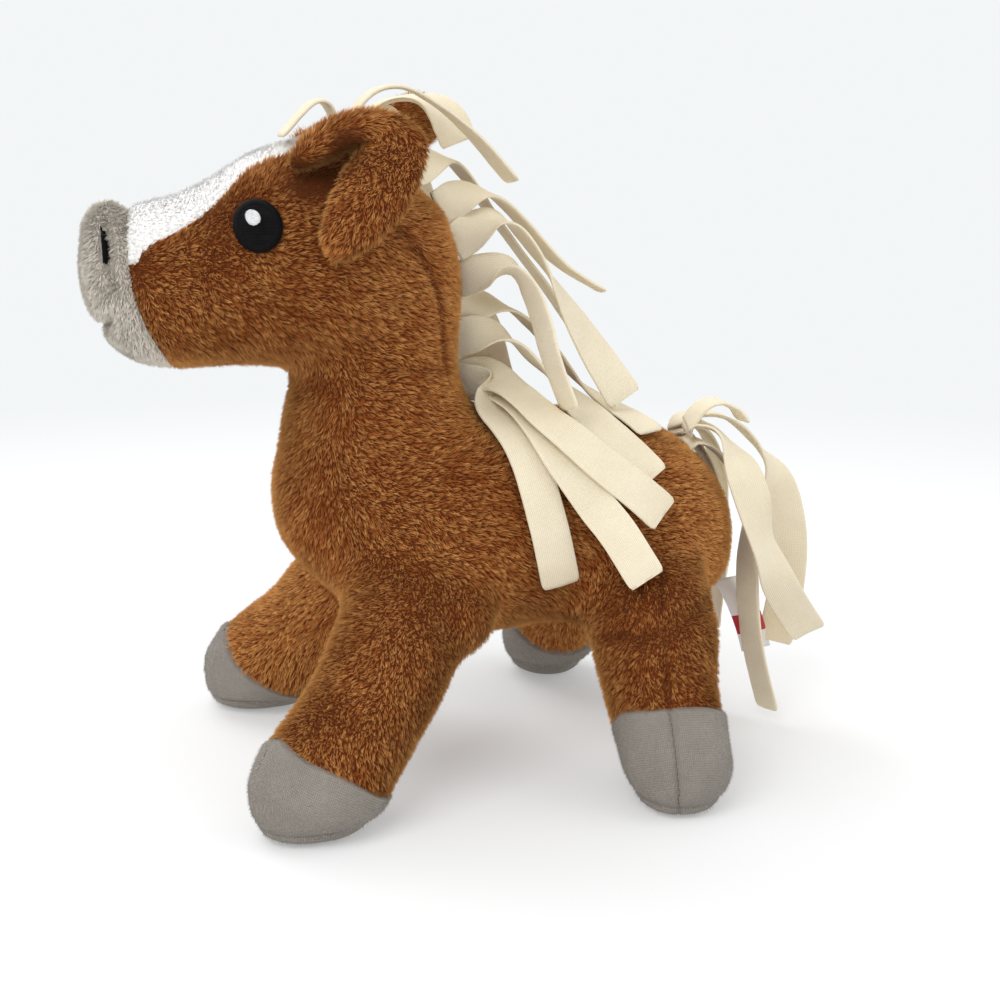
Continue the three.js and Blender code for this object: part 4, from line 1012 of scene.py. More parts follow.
def addPile(name, chosen, material, body, leg=None):
    # the chosen hairs as a piece of their own, which moves as the coat under it does
    chosen = chosen & ~bare
    piece = hairMesh(name, roots[chosen], rootNormals[chosen], tips[chosen], widths[chosen], tones[chosen],
                     shades[chosen], material)
    print(name, int(chosen.sum()), "hairs")
    carry(piece, body, leg)


torsoCuts = [-60, -14, 18, 42, 90]  # the torso's pile in four pieces, each under 50,000 hairs
for number, (low, high) in enumerate(zip(torsoCuts[:-1], torsoCuts[1:]), 1):
    part = (rootKinds == 0) & (roots[:, 0] >= low) & (roots[:, 0] < high)
    addPile(f"torso_pile_{number}", part, brownPile, "torso")
for hand, side in sideNames.items():
    addPile(f"head_pile_{hand}", (rootKinds == 1) & (roots[:, 1] * side > 0), brownPile, "torso")
addPile("blaze_pile", onBlaze, whitePile, "torso")
addPile("muzzle_pile", onMuzzle, greyPile, "torso")
for number, (name, hand) in enumerate(legNames):
    addPile(f"leg_pile_{name}_{hand}", rootKinds == 4 + number, brownPile, f"leg_{name}_{hand}",
            (name, sideNames[hand]))
print("pile done")


hoofMaking = dict(sides=128, rings=48, squareness=2.15, under=0.2, soleHeight=3.8, tuck=1.6, rounding=2.0, edge=0.45,
                  dents=0.3, seam=dict(depth=0.8, width=3.4, facing=dict(front=(-1.0, 0.04), hind=(-0.39, 0.92))),
                  stitch=dict(pitch=1.25, length=0.9, aside=0.16, lift=0.1, radius=0.12),
                  fuzz=dict(density=2.6, length=0.75, width=0.11, lean=38.0))
hoofSeams = {}


def crossing(values, level):
    # for each column, the fractional row at which falling or rising values first pass the level
    past = values >= level
    row = np.maximum(np.argmax(past, axis=0), 1)
    columns = np.arange(values.shape[1])
    a, b = values[row - 1, columns], values[row, columns]
    return row - 1 + np.clip((level - a) / np.where(np.abs(b - a) < 1e-9, 1, b - a), 0, 1)


def alongRows(grid, rows):
    # the grid's points at fractional rows, one array of rows for each column
    low = np.clip(np.floor(rows).astype(int), 0, len(grid) - 2)
    t = (rows - low)[..., None]
    columns = np.broadcast_to(np.arange(grid.shape[1]), rows.shape)
    return grid[low, columns] * (1 - t) + grid[low + 1, columns] * t


def gridFaces(rings, sides):
    # a tube's faces of four corners, open at both ends
    i, j = np.meshgrid(np.arange(rings - 1), np.arange(sides), indexing="ij")
    a, b = (i * sides + j).ravel(), (i * sides + (j + 1) % sides).ravel()
    return np.stack([a, b, b + sides, a + sides], 1)


def cornerPairs(u, v):
    # a map's two grids as one pair for each corner of each four-cornered face
    pairs = np.stack([u, v], 2)
    corners = [pairs[:-1, :-1], pairs[:-1, 1:], pairs[1:, 1:], pairs[1:, :-1]]
    return np.stack([corner.reshape(-1, 2) for corner in corners], 1).reshape(-1, 2)


def wrapMap(grid):
    # the map in mm: u runs round the rings and v along the tube
    around = np.linalg.norm(np.roll(grid, -1, axis=1) - grid, axis=2)
    u = np.concatenate([np.zeros((len(grid), 1)), np.cumsum(around, axis=1)], 1)
    u = np.broadcast_to(u.mean(0), u.shape)
    v = np.concatenate([np.zeros((1, grid.shape[1])), np.cumsum(np.linalg.norm(np.diff(grid, axis=0), axis=2), axis=0)])
    return cornerPairs(u, np.concatenate([v, v[:, :1]], 1))


def clothTube(name, grid, material, bodyName, replaced):
    # a closed tube of four-cornered faces: its last rings shrink to a point at both ends
    ends = [grid[:1].mean(1, keepdims=True), grid[-1:].mean(1, keepdims=True)]
    shut = [end + (ring - end) * share for end, ring, share in (
        (ends[0], grid[:1], 0.01), (ends[0], grid[:1], 0.6), (ends[1], grid[-1:], 0.6), (ends[1], grid[-1:], 0.01))]
    grid = np.concatenate([shut[0], shut[1], grid, shut[2], shut[3]])
    faces = gridFaces(*grid.shape[:2])
    points = grid.reshape(-1, 3)
    triangles = np.concatenate([faces[:, [0, 1, 2]], faces[:, [0, 2, 3]]])
    faces, pairs = outwardMap(faces, wrapMap(grid), signedVolume(points - points.mean(0), triangles))
    piece = putMesh(name, points, faces, material, pairs)
    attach(piece, bodyName)
    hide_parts(replaced)


def makeHoof(name, hand):
    # the leg's own surface from the sleeve's droop down to the sole's seam, pressed along its front seam
    leg, side, m = legForms[name], sideNames[hand], hoofMaking
    bodyName = f"leg_{name}_{hand}"
    place = np.linspace(0.3, 1, 240)
    surface = formRings(*legFrames(leg, place, side), m["sides"], m["squareness"])
    centre = legMiddle(leg, place, side)[:, None]
    top = crossing(pastAnkle(surface, name, hand), -m["under"])
    low = crossing(-surface[:, :, 2], -m["soleHeight"])
    share = np.linspace(0, 1, m["rings"])[:, None]
    grid = alongRows(surface, top + (low - top) * share)
    middle = alongRows(np.broadcast_to(centre, surface.shape), top + (low - top) * share)
    out = unit(grid - middle)
    # the seam presses in the columns that face its own way, over so many degrees
    flat = unit(out * [1, 1, 0])
    forward, outward = m["seam"]["facing"][name]
    away = np.degrees(np.arccos(np.clip(flat @ unit(np.array([forward, outward * side, 0])), -1, 1)))
    grid = grid - out * (m["seam"]["depth"] * bell(away, m["seam"]["width"]))[..., None]
    # both edges turn in: under the brown pile above, and rounded towards the sole's seam below
    turned = m["tuck"] * bell(share, 0.045) + m["rounding"] * np.clip((share - 0.55) / 0.45, 0, 1) ** 2
    grid = grid - out * (turned + m["edge"] * bell(1 - share, 0.035))[..., None]
    grid += out * (m["dents"] * latticeNoise(grid.reshape(-1, 3), 7.0, 17).reshape(grid.shape[:2]))[..., None]
    clothTube(f"hoof_knit_{name}_{hand}", grid, greyKnit, bodyName, f"hoof_{name}_{hand}")
    column = np.argmin(away, axis=1)
    rings = np.arange(2, m["rings"] - 1)
    hoofSeams[name, hand] = grid[rings, column[rings]], out[rings, column[rings]]
    # the sole: from its seam round under the foot, flat where it stands
    angle = np.linspace(0, 1, 20)[:, None] * np.pi / 2
    rim = grid[-1]
    under = rim.mean(0) * [1, 1, 0]
    flat = rim * [1, 1, 0] - under
    sole = under + flat[None] * np.cos(angle * 0.98)[..., None] ** 0.62
    sole[:, :, 2] = rim[None, :, 2] * (1 - np.sin(angle) ** 0.9)
    clothTube(f"sole_knit_{name}_{hand}", sole[:-1], greyKnit, bodyName, f"sole_{name}_{hand}")
    # brushed wool: short fibres that stand off the knit
    skin = np.concatenate([grid, sole[1:7]])
    faces = gridFaces(*skin.shape[:2])
    faces = np.concatenate([faces[:, [0, 1, 2]], faces[:, [0, 2, 3]]])
    fuzz, rng = m["fuzz"], np.random.default_rng(51 + int(side))
    roots, normals = scattered(skin.reshape(-1, 3), faces, fuzz["density"], rng)
    normals *= np.sign(((roots - rim.mean(0) * [1, 1, 2]) * normals).sum())
    way = roots * 0 + [0.3, 0.1, -1.0]
    tips, own = combed(roots, normals, way, fuzz["length"], fuzz["lean"], rng, np.ones(3), 61)
    tips[:, 2] = np.maximum(tips[:, 2], 0.02)
    tones = 0.5 + 0.8 * (own[:, 2] - 0.5) + rng.normal(0, 0.2, len(roots))
    widths = fuzz["width"] * rng.uniform(0.7, 1.3, len(roots))
    wool = hairMesh(f"hoof_fuzz_{name}_{hand}", roots, normals, tips, widths, tones, roots[:, 0] * 0, woolFuzz)
    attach(wool, bodyName)


for name, hand in legNames:
    makeHoof(name, hand)
print("hooves done")


# rows: a share of the ear, its line's way from the seat as shares of its length, its width and its thickness, and on
# the left the turn of its width in right angles
earMaking = dict(length=44.0, width=30.0, thickness=5.0, inset=1.0, lean=45.0, pile=1.8, comb=50.0, hollowShade=4.6,
                 seats=dict(left=(-39.149, -23.938, 148.904), right=(-39.149, 23.938, 148.904)), rows=dict(left=[
        [0, -0.174, -0.048, -0.058, 0.08, 0.6, 1.42], [0.05, -0.136, -0.016, -0.016, 0.2, 1.2, 1.27],
        [0.15, -0.037, -0.006, 0.049, 0.28, 1.6, 1.21], [0.24, 0.072, -0.002, 0.1, 0.3, 1.72, 1.03],
        [0.32, 0.176, -0.004, 0.124, 0.33, 1.6, 0.69], [0.4, 0.265, -0.001, 0.1, 0.44, 1.4, 0.37],
        [0.47, 0.301, 0.046, 0.022, 0.59, 1.24, 0.14], [0.57, 0.258, 0.112, -0.074, 0.61, 1.2, 0.01],
        [0.68, 0.198, 0.173, -0.179, 0.61, 1.2, -0.07], [0.77, 0.136, 0.208, -0.274, 0.56, 1.2, -0.11],
        [0.86, 0.073, 0.238, -0.359, 0.46, 1.2, -0.15], [0.94, 0.014, 0.253, -0.437, 0.34, 1.04, -0.18],
        [1, -0.019, 0.246, -0.51, 0.16, 0.6, -0.2]], right=[
        [0, 0, 0, 0, 0.4, 1.3], [0.1, 0.08, 0.03, -0.02, 0.43, 1.3], [0.22, 0.19, 0.07, -0.03, 0.48, 1.15],
        [0.34, 0.31, 0.1, 0, 0.53, 1.05], [0.46, 0.43, 0.12, 0.03, 0.6, 1], [0.6, 0.56, 0.13, 0.08, 0.66, 1],
        [0.74, 0.67, 0.13, 0.13, 0.68, 1], [0.88, 0.77, 0.12, 0.16, 0.62, 0.95], [1, 0.85, 0.1, 0.18, 0.3, 0.6]]))


def makeEar(hand):
    # a flat tube along the ear's line, which closes by a rounded end, with its pile
    m, side = earMaking, sideNames[hand]
    place = np.linspace(0, 1, 70)
    rows = rowValues(m["rows"][hand], place)
    line = np.array(m["seats"][hand]) + rows[:, :3] * [1, side, 1] * m["length"]
    tangent = unit(np.gradient(line, axis=0))
    if hand == "left":
        turn = rows[:, 5] * np.pi / 2
        across = np.stack([np.cos(turn), 0 * turn, np.sin(turn)], 1)
    else:
        lean = math.radians(m["lean"])
        broad = np.array([0, -math.sin(lean), math.cos(lean)])
        across = unit(broad - tangent * (tangent @ broad)[:, None])
    through = unit(np.cross(tangent, across))
    width = rows[:, 3] * m["width"] / 2 - m["inset"] * 0.6
    thick = rows[:, 4] * m["thickness"] / 2 - m["inset"] * 0.45
    end = np.sqrt(1 - np.clip((place - 0.93) / 0.07, 0, 1) ** 2.2)
    width, thick = (np.maximum(half * end, 0.3)[:, None] for half in (width, thick))
    points, faces = tube(formRings(line, across * width, through * thick, 40, 2.0))
    coat = putMesh(f"ear_coat_{hand}", points, faces, brownBacking)
    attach(coat, f"ear_{hand}")
    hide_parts(f"ear_{hand}")
    rng = np.random.default_rng(31 + int(side))
    roots, normals = scattered(points, faces, pileMaking["density"], rng)
    way = tangent[np.argmin(((roots[:, None] - line[None, ::6]) ** 2).sum(2), 1) * 6]
    tips, own = combed(roots, normals, way, m["pile"], m["comb"], rng, np.array([1.0, 1.0, 0.7]), 41)
    tones = 0.5 + (own[:, 2] - 0.5) + pileMaking["toneNoise"] * latticeNoise(roots, 9.0, 5)
    tones += rng.normal(0, pileMaking["toneSpread"], len(roots))
    widths = pileMaking["width"] * rng.uniform(0.75, 1.25, len(roots))
    # the ear's own pile near the hollow under its bend is darkened too, painted shade
    shades = np.exp(-(lineDistance(roots, earHollow) / m["hollowShade"]) ** 4)
    pile = hairMesh(f"ear_pile_{hand}", roots, normals, tips, widths, tones, shades, brownPile)
    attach(pile, f"ear_{hand}")


for hand in sideNames:
    makeEar(hand)
print("ears done")


def threads(name, body, starts, ends, normals, radius, bow, material, slot, steps=7, sides=6):
    # each stitch is a thin closed tube from its start to its end that bows up from the cloth by half a sine wave
    t = np.linspace(0, 1, steps)[None, :, None]
    line = starts[:, None] * (1 - t) + ends[:, None] * t + normals[:, None] * (np.sin(np.pi * t) * bow)
    tangent = unit(np.gradient(line, axis=1))
    across = unit(np.cross(tangent, normals[:, None]))
    up = np.cross(across, tangent)
    size = radius * (0.35 + 0.65 * np.sin(np.pi * np.clip(t, 0.04, 0.96)) ** 0.35)
    turn = np.linspace(0, 2 * np.pi, sides, endpoint=False)
    rings = (line[:, :, None] + across[:, :, None] * (np.cos(turn)[None, None, :, None] * size[..., None])
             + up[:, :, None] * (np.sin(turn)[None, None, :, None] * size[..., None]))
    tubes = rings.reshape(len(starts), -1, 3)
    caps = np.stack([rings[:, 0].mean(1), rings[:, -1].mean(1)], 1)
    points = np.concatenate([tubes, caps], 1)
    # one stitch's faces serve for all of them
    faces = outwardFaces(points[0] - tubes[0].mean(0), ringTriangles(steps, sides))
    faces = (faces[None] + (np.arange(len(starts)) * points.shape[1])[:, None, None]).reshape(-1, 3)
    piece = putMesh(name, points.reshape(-1, 3), faces, material)
    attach(piece, body)


def domeLift(share, lift, rise):
    # how far a patch stands off the head at a share of its radius: a low dome with a steep edge
    return lift + rise * np.sqrt(np.clip(1 - np.clip(share, 0, 1) ** 4, 0, 1))


def patchDome(name, place, side, lift, rise, material, slot, replaced):
    # a filled oval on the head's side: rings shrink to the middle while the lift grows, and the last goes under it
    share = np.linspace(1, 0.02, 16)[:, None]
    turn = np.linspace(0, 2 * np.pi, 56, endpoint=False)[None]
    x = place["x"] + np.cos(turn) * share * place["width"] / 2
    z = place["z"] + np.sin(turn) * share * place["height"] / 2
    height = np.broadcast_to(domeLift(share, lift, rise), x.shape)
    points, _ = headSide(x.ravel(), z.ravel(), side, height.ravel())
    below, _ = headSide(x[0], z[0], side, np.full(x.shape[1], lift - 1.6))
    clothTube(name, np.concatenate([below[None], points.reshape(*x.shape, 3)]), material, "torso", replaced)


def stitchRows(place, side, lift, pitch, tilt):
    # straight stitches across an oval, one row beside the next, their ends on its edge
    a, b = place["width"] / 2, place["height"] / 2
    rows = np.arange(-b + pitch, b, pitch)
    half = a * np.sqrt(1 - (rows / b) ** 2)
    c, s = math.cos(tilt), math.sin(tilt)
    (starts, first), (ends, last) = (
        headSide(place["x"] + u * c - rows * s, place["z"] + u * s + rows * c, side, lift) for u in (-half, half))
    return starts, ends, unit(first + last)


def satinRows(place, side, m):
    # rows of stitches that follow the patch's dome, each row cut at its own random places
    a, b = place["width"] / 2, place["height"] / 2
    rng = np.random.default_rng(m["seed"])
    found = []
    for row in np.arange(-b + 1.1, b - 1.0, m["pitch"]):
        half = (a - 0.9) * math.sqrt(max(1 - (row / (b - 0.6)) ** 2, 0))
        cuts = np.linspace(-half, half, max(2, int(half * 2 / m["length"]) + 1))
        cuts[1:-1] += rng.uniform(-m["uneven"], m["uneven"], len(cuts) - 2)
        for low, high in zip(cuts[:-1], cuts[1:]):
            u = np.array([low - m["overlap"], high + m["overlap"]])
            height = domeLift(np.sqrt((u / a) ** 2 + (row / b) ** 2), m["lift"], m["rise"]) + 0.02
            spots, normals = headSide(place["x"] + u, np.full(2, place["z"] + row), side, height)
            found.append([spots[0], spots[1], normals[0]])
    return np.array(found).transpose(1, 0, 2)


eyeMaking = dict(lift=-0.5, rise=1.0, rim=110, rimLength=1.5, radius=0.17, seed=3, pitch=0.3, length=2.6, uneven=0.6,
                 overlap=0.15, glint=dict(forward=0.06 * 11.8, up=0.11 * 12.9, width=3.0, height=3.3, rise=0.3,
                                          pitch=0.26, tilt=0.5, radius=0.15))
nostrilMaking = dict(lift=-0.9, rise=0.3, pitch=0.3, radius=0.18)


def makeEye(hand):
    # a black dome with a rim of stitches round its edge and satin rows over it, and a small white dome above that
    m, side = eyeMaking, sideNames[hand]
    black, white = (blackThread, "black_thread"), (whiteThread, "white_thread")
    patchDome(f"eye_patch_{hand}", eyePlace, side, m["lift"], m["rise"], *black, f"eye_{hand}")
    turn = np.linspace(0, 2 * np.pi, m["rim"], endpoint=False)
    a, b = eyePlace["width"] / 2, eyePlace["height"] / 2
    outer, normals = headSide(eyePlace["x"] + np.cos(turn) * (a + 0.1), eyePlace["z"] + np.sin(turn) * (b + 0.1), side,
                              m["lift"])
    inner, _ = headSide(eyePlace["x"] + np.cos(turn) * (a - m["rimLength"]),
                        eyePlace["z"] + np.sin(turn) * (b - m["rimLength"]), side, m["lift"] + m["rise"] * 0.8)
    threads(f"eye_rim_{hand}", "torso", inner, outer, normals, m["radius"] * 1.15, 0.3, *black)
    threads(f"eye_stitches_{hand}", "torso", *satinRows(eyePlace, side, m), m["radius"], 0.1, *black)
    g = m["glint"]
    place = dict(g, x=eyePlace["x"] - g["forward"], z=eyePlace["z"] + g["up"])
    top = m["rise"] + m["lift"]
    patchDome(f"eye_glint_patch_{hand}", place, side, top + 0.1, g["rise"], *white, f"eye_glint_{hand}")
    stitches = stitchRows(place, side, top + g["rise"], g["pitch"], g["tilt"])
    threads(f"eye_glint_stitches_{hand}", "torso", *stitches, g["radius"], 0.12, *white)


def makeNostril(hand):
    # a narrow upright patch with stitches across it
    m, side = nostrilMaking, sideNames[hand]
    patchDome(f"nostril_patch_{hand}", nostrilPlace, side, m["lift"], m["rise"], blackThread, "black_thread",
              f"nostril_{hand}")
    stitches = stitchRows(nostrilPlace, side, m["lift"] + m["rise"], m["pitch"], 0.0)
    threads(f"nostril_stitches_{hand}", "torso", *stitches, m["radius"], 0.15, blackThread, "black_thread")


def makeHoofSeam(name, hand):
    # small stitches along the seam, one after the other on alternate sides
    line, normals = hoofSeams[name, hand]
    m = hoofMaking["stitch"]
    length = np.concatenate([[0], np.cumsum(np.linalg.norm(np.diff(line, axis=0), axis=1))])
    places = np.arange(0.6, length[-1] - 0.6, m["pitch"])
    starts, ends, out = (np.stack([np.interp(places + shift, length, values[:, k]) for k in range(3)], 1)
                         for values, shift in ((line, 0), (line, m["length"]), (normals, 0)))
    out = unit(out)
    sign = np.where(np.arange(len(places)) % 2, m["aside"], -m["aside"])[:, None]
    across = unit(np.cross(unit(ends - starts), out)) * sign
    threads(f"hoof_seam_{name}_{hand}", f"leg_{name}_{hand}", starts + out * m["lift"] - across,
            ends + out * m["lift"] + across, out, m["radius"], 0.12, greyThread, "grey_knit")


for hand in sideNames:
    makeEye(hand)
    makeNostril(hand)
for name, hand in hoofSeams:
    makeHoofSeam(name, hand)
print("embroidery done")


stripMaking = dict(width=9.4, thickness=0.95, step=0.9, cup=0.25, curl=0.35, dents=0.12, flat=10.0, soften=3.2,
                   ease=5.0, root=3.0, deeper=dict(mane_strip_01=3.0, mane_strip_02=5.0, mane_strip_03=5.0))
# each strip's stops from root to end: X, Y and Z in mm, then the way that its width lies there
fringeStops = dict(
    mane_strip_01=[
        (0.3, -1.8, 93, -0.39, 0, 0.92), (4.5, -4.2, 92.1, 0.1, 0, 1), (1.6, -7.9, 88, -0.86, 0.48, 0.16),
        (3.1, -13.5, 86.4, -0.97, -0.24, -0.01), (4.5, -18.5, 84.1, -0.97, -0.24, -0.08),
        (5.9, -22.7, 80.9, -0.97, -0.22, -0.14), (6.9, -26.2, 77.1, -0.98, -0.13, -0.13),
        (7.8, -28.8, 72.6, -0.98, -0.09, -0.16), (8.8, -30.5, 67.5, -0.98, -0.05, -0.17),
        (10.4, -31.2, 61.1, -0.97, -0.01, -0.24), (12, -30.9, 53.8, -0.98, 0.02, -0.21),
        (13.5, -29.6, 48.1, -0.97, 0.08, -0.25)],
    mane_strip_02=[
        (-2.1, 0, 94.1, -0.32, 0, 0.95), (1.5, -1.2, 95.6, 0.1, 0, 1), (5.2, -7.5, 93.5, 0.86, 0.51, 0),
        (7.3, -12.5, 92, 0.93, 0.37, 0.04), (9.4, -17, 90, 0.92, 0.38, 0.11), (11.5, -21, 87.5, 0.91, 0.37, 0.17),
        (15.4, -25, 84.3, 0.79, 0.48, 0.37), (19.3, -28.3, 80.7, 0.78, 0.41, 0.47),
        (23.4, -30.8, 76.7, 0.76, 0.35, 0.54), (28.3, -32, 72.9, 0.62, 0.34, 0.7),
        (33.1, -32.4, 68.8, 0.64, 0.27, 0.72), (37.9, -32.2, 64.4, 0.65, 0.19, 0.73)],
    mane_strip_03=[
        (-1.5, 1.8, 97.7, 0, 0, 1), (2.7, 3.5, 95.6, 0.1, 0, 1), (5.8, -4.5, 90.6, 0.92, 0.38, -0.04),
        (8.4, -13.9, 88.5, 0.96, 0.26, 0.03), (11.1, -21.6, 84.3, 0.96, 0.26, 0.13),
        (13.7, -27.5, 78.4, 0.95, 0.2, 0.22), (16, -29.8, 75, 0.86, 0.25, 0.44),
        (18.4, -31.6, 71.4, 0.86, 0.18, 0.47), (20.8, -32.9, 67.4, 0.87, 0.11, 0.49),
        (22.6, -34.4, 65.3, 0.8, 0.1, 0.59), (24.3, -35.8, 63, 0.82, 0.06, 0.57),
        (26.1, -37, 60.2, 0.85, 0.04, 0.53), (27.7, -38.5, 56.9, 0.9, 0.02, 0.43), (29.3, -39.7, 54, 0.88, 0, 0.48),
        (31, -40.7, 51, 0.87, -0.03, 0.49)],
    mane_strip_04=[
        (-3.4, -1.8, 104.7, 0, 0, 1), (5.6, -6, 105.3, -0.24, 0.97, 0.1), (15.2, -8.4, 96.3, -0.24, 0.97, 0.1),
        (23, -10.8, 87.9, 0.54, 0.65, 0.54), (28.4, -19.4, 82.5, 0.88, 0.44, 0.18),
        (31.3, -22.7, 79.6, 0.83, 0.48, 0.28), (34.1, -25.4, 76.2, 0.83, 0.43, 0.36),
        (37, -27.3, 72.4, 0.83, 0.37, 0.42)],
    mane_strip_05=[
        (-2.8, 0, 111.6, 0.06, 0, 1), (6.8, 2.4, 112.2, -0.24, 0.97, 0.1), (17.6, 3.6, 103.8, -0.24, 0.97, 0.1),
        (27.2, 2.4, 91.8, 0, 1, 0), (34.2, -6.5, 86, 0.77, 0.64, -0.05), (36.1, -10.4, 84.9, 0.89, 0.46, -0.06),
        (38.1, -13.9, 83.5, 0.87, 0.49, -0.02), (40, -17, 81.6, 0.85, 0.52, 0.03)],
    mane_strip_06=[
        (-1.8, -1.8, 119, 0, 0, 1), (5.4, -7.8, 121.4, -0.24, 0.97, 0.1), (10.2, -15.6, 115.4, -0.24, 0.97, 0.1),
        (13.2, -19.8, 101.6, -0.24, 0.97, 0.1), (17.4, -22.2, 89, -0.24, 0.97, 0.1)],
    mane_strip_07=[
        (-3.3, -1.8, 128.1, -0.27, 0, 0.96), (5.1, -3.6, 133.5, -0.24, 0.97, 0.1),
        (13.5, -5.4, 125.1, -0.24, 0.97, 0.1), (23.7, -9, 107.1, 0.54, 0.65, 0.54),
        (35.1, -11.4, 89.1, 0.86, 0.1, 0.5)],
    mane_strip_08=[
        (-6.6, 0, 136.2, -0.29, 0, 0.96), (1.8, 1.8, 139.8, -0.24, 0.97, 0.1), (10.8, 4.2, 133.8, -0.24, 0.97, 0.1),
        (22.2, 4.2, 121.2, -0.24, 0.97, 0.1), (33.6, 2.4, 114, -0.24, 0.97, 0.1)],
    mane_strip_09=[
        (-14.4, -1.8, 144.8, -0.66, 0, 0.75), (-4.8, 9, 147.2, -0.24, 0.97, 0.1), (10.8, 13.2, 128.6, 0, 1, 0),
        (25.2, 10.2, 108.8, 0, 1, 0), (37.2, 9, 89.6, 0, 1, 0)],
    mane_strip_10=[
        (-2.7, 1.8, 108.8, 0, 0, 1), (4.5, 10.2, 107.6, 0.1, 0, 1), (9.3, 18.6, 96.8, 0.86, 0.1, 0.5),
        (15.3, 27, 81.8, 0.86, 0.1, 0.5), (22.5, 35.4, 62, 0.86, 0.1, 0.5)],
    mane_strip_11=[
        (-22.3, 1.8, 149.9, -0.78, 0, 0.62), (-18.1, 13.8, 155.3, 0.1, 0, 1), (-10.9, 24.6, 143.9, 0.86, 0.1, 0.5),
        (-3.1, 30.6, 124.7, 0.86, 0.1, 0.5), (4.1, 34.2, 104.3, 0.86, 0.1, 0.5)],
    forelock_strip_01=[
        (-30.6, 0, 154.5, 0, 1, 0), (-27, 0, 160.5, 0, 1, 0), (-19.2, 0, 164.1, 0, 1, 0),
        (-10.8, 0, 160.5, 0.1, 0.97, 0.1), (-1.2, -1.2, 152.7, -0.24, 0.97, 0.1),
        (9, -1.8, 141.3, -0.24, 0.97, 0.1)],
    forelock_strip_02=[
        (-27.3, 4.5, 154.5, 0, 1, 0), (-21.3, 8.1, 159.3, 0, 1, 0), (-12.9, 10.5, 161.1, 0, 1, 0),
        (-4.5, 9.3, 157.5, 0.86, 0.1, 0.5), (-1.5, 9.3, 150.3, 0.86, 0.1, 0.5)],
    forelock_strip_03=[
        (-34.2, -4.5, 155.5, 0, 1, 0), (-35.4, -5.7, 160.3, 0, 1, 0), (-39, -6.3, 161.5, 0, 1, 0),
        (-43.2, -6.9, 156.7, 0, 1, 0), (-47.4, -6.9, 152.5, 0, 1, 0)],
    tail_strip_01=[
        (56.1, -4.4, 81, 0, 1, 0), (61.5, -8.6, 79.2, 0, 1, 0), (65.7, -18.8, 66, 0.9, -0.25, 0.35),
        (70.5, -17, 51, 0.54, 0.65, 0.54), (78.9, -12.2, 36.9, 0.9, -0.25, 0.35),
        (89.4, -6.2, 23.7, 0.9, -0.25, 0.35)],
    tail_strip_02=[
        (56.1, 4.5, 81, 0, 1, 0), (67.5, 3.3, 81, 0, 1, 0), (76.8, 2.1, 72.3, 0, 1, 0),
        (84, 2.1, 59.4, 0.9, -0.25, 0.35), (86.9, 2.1, 45, 0.9, -0.25, 0.35), (85.3, 1.5, 30, 0.9, -0.25, 0.35),
        (82.5, 0.3, 19.8, 0.9, -0.25, 0.35)],
    tail_strip_03=[
        (56.1, -4.4, 77, 0, 1, 0), (64.4, -3.2, 71.6, 0, 1, 0), (69.9, -4.4, 59.3, 0.54, 0.65, 0.54),
        (71.1, -5.6, 43.6, -0.24, 0.97, 0.1), (72.1, -5.6, 28.7, -0.24, 0.97, 0.1),
        (74.9, -6.2, 14.9, -0.24, 0.97, 0.1), (77.7, -6.8, 3.8, -0.24, 0.97, 0.1)],
    tail_strip_04=[
        (56.1, 4.5, 77, 0, 1, 0), (63.3, 8.1, 71, 0, 1, 0), (69.6, 11.7, 55.4, 0, 1, 0), (71.7, 14.1, 37.4, 0, 1, 0),
        (71.7, 16.5, 29, 0, 1, 0), (72.3, 18.9, 21.2, 0, 1, 0)],
    tail_strip_05=[
        (56.1, 4.5, 79, 0, 1, 0), (63.9, 9.3, 76.6, 0, 1, 0), (72.3, 16.5, 62.2, 0, 1, 0),
        (77.1, 21.3, 44.2, 0.54, 0.65, 0.54), (77.1, 23.7, 33.4, 0.54, 0.65, 0.54),
        (76.5, 24.9, 25, 0.54, 0.65, 0.54)],
    tail_strip_06=[
        (56.1, -4.4, 82.7, 0, 1, 0), (59.1, -5, 86.6, 0, 1, 0), (64.5, -7.4, 86, 0, 1, 0), (68.1, -8, 81.5, 0, 1, 0)])


def smoothPath(stops, step):
    # a centripetal Catmull-Rom curve through the stops, sampled evenly by length
    p = np.asarray(stops, float)
    first, last = 2 * p[0] - p[1], 2 * p[-1] - p[-2]
    q = np.concatenate([[first], p, [last]])
    knot = np.concatenate([[0], np.cumsum(np.linalg.norm(np.diff(q, axis=0), axis=1) ** 0.5)])
    found, places = [], []
    t = np.linspace(0, 1, 40, endpoint=False)[:, None]
    for i in range(1, len(q) - 2):
        k0, k1, k2, k3 = knot[i - 1:i + 3]
        u = k1 + (k2 - k1) * t
        a1 = (k1 - u) / (k1 - k0) * q[i - 1] + (u - k0) / (k1 - k0) * q[i]
        a2 = (k2 - u) / (k2 - k1) * q[i] + (u - k1) / (k2 - k1) * q[i + 1]
        a3 = (k3 - u) / (k3 - k2) * q[i + 1] + (u - k2) / (k3 - k2) * q[i + 2]
        b1 = (k2 - u) / (k2 - k0) * a1 + (u - k0) / (k2 - k0) * a2
        b2 = (k3 - u) / (k3 - k1) * a2 + (u - k1) / (k3 - k1) * a3
        found.append((k2 - u) / (k2 - k1) * b1 + (u - k1) / (k2 - k1) * b2)
        places.append(i - 1 + t[:, 0])
    line = np.concatenate(found + [p[-1:]])
    place = np.concatenate(places + [[len(p) - 1.0]])
    length = np.concatenate([[0], np.cumsum(np.linalg.norm(np.diff(line, axis=0), axis=1))])
    count = max(12, int(length[-1] / step))
    even = np.linspace(0, length[-1], count)
    line = np.stack([np.interp(even, length, line[:, k]) for k in range(3)], 1)
    return line, np.interp(even, length, place), even


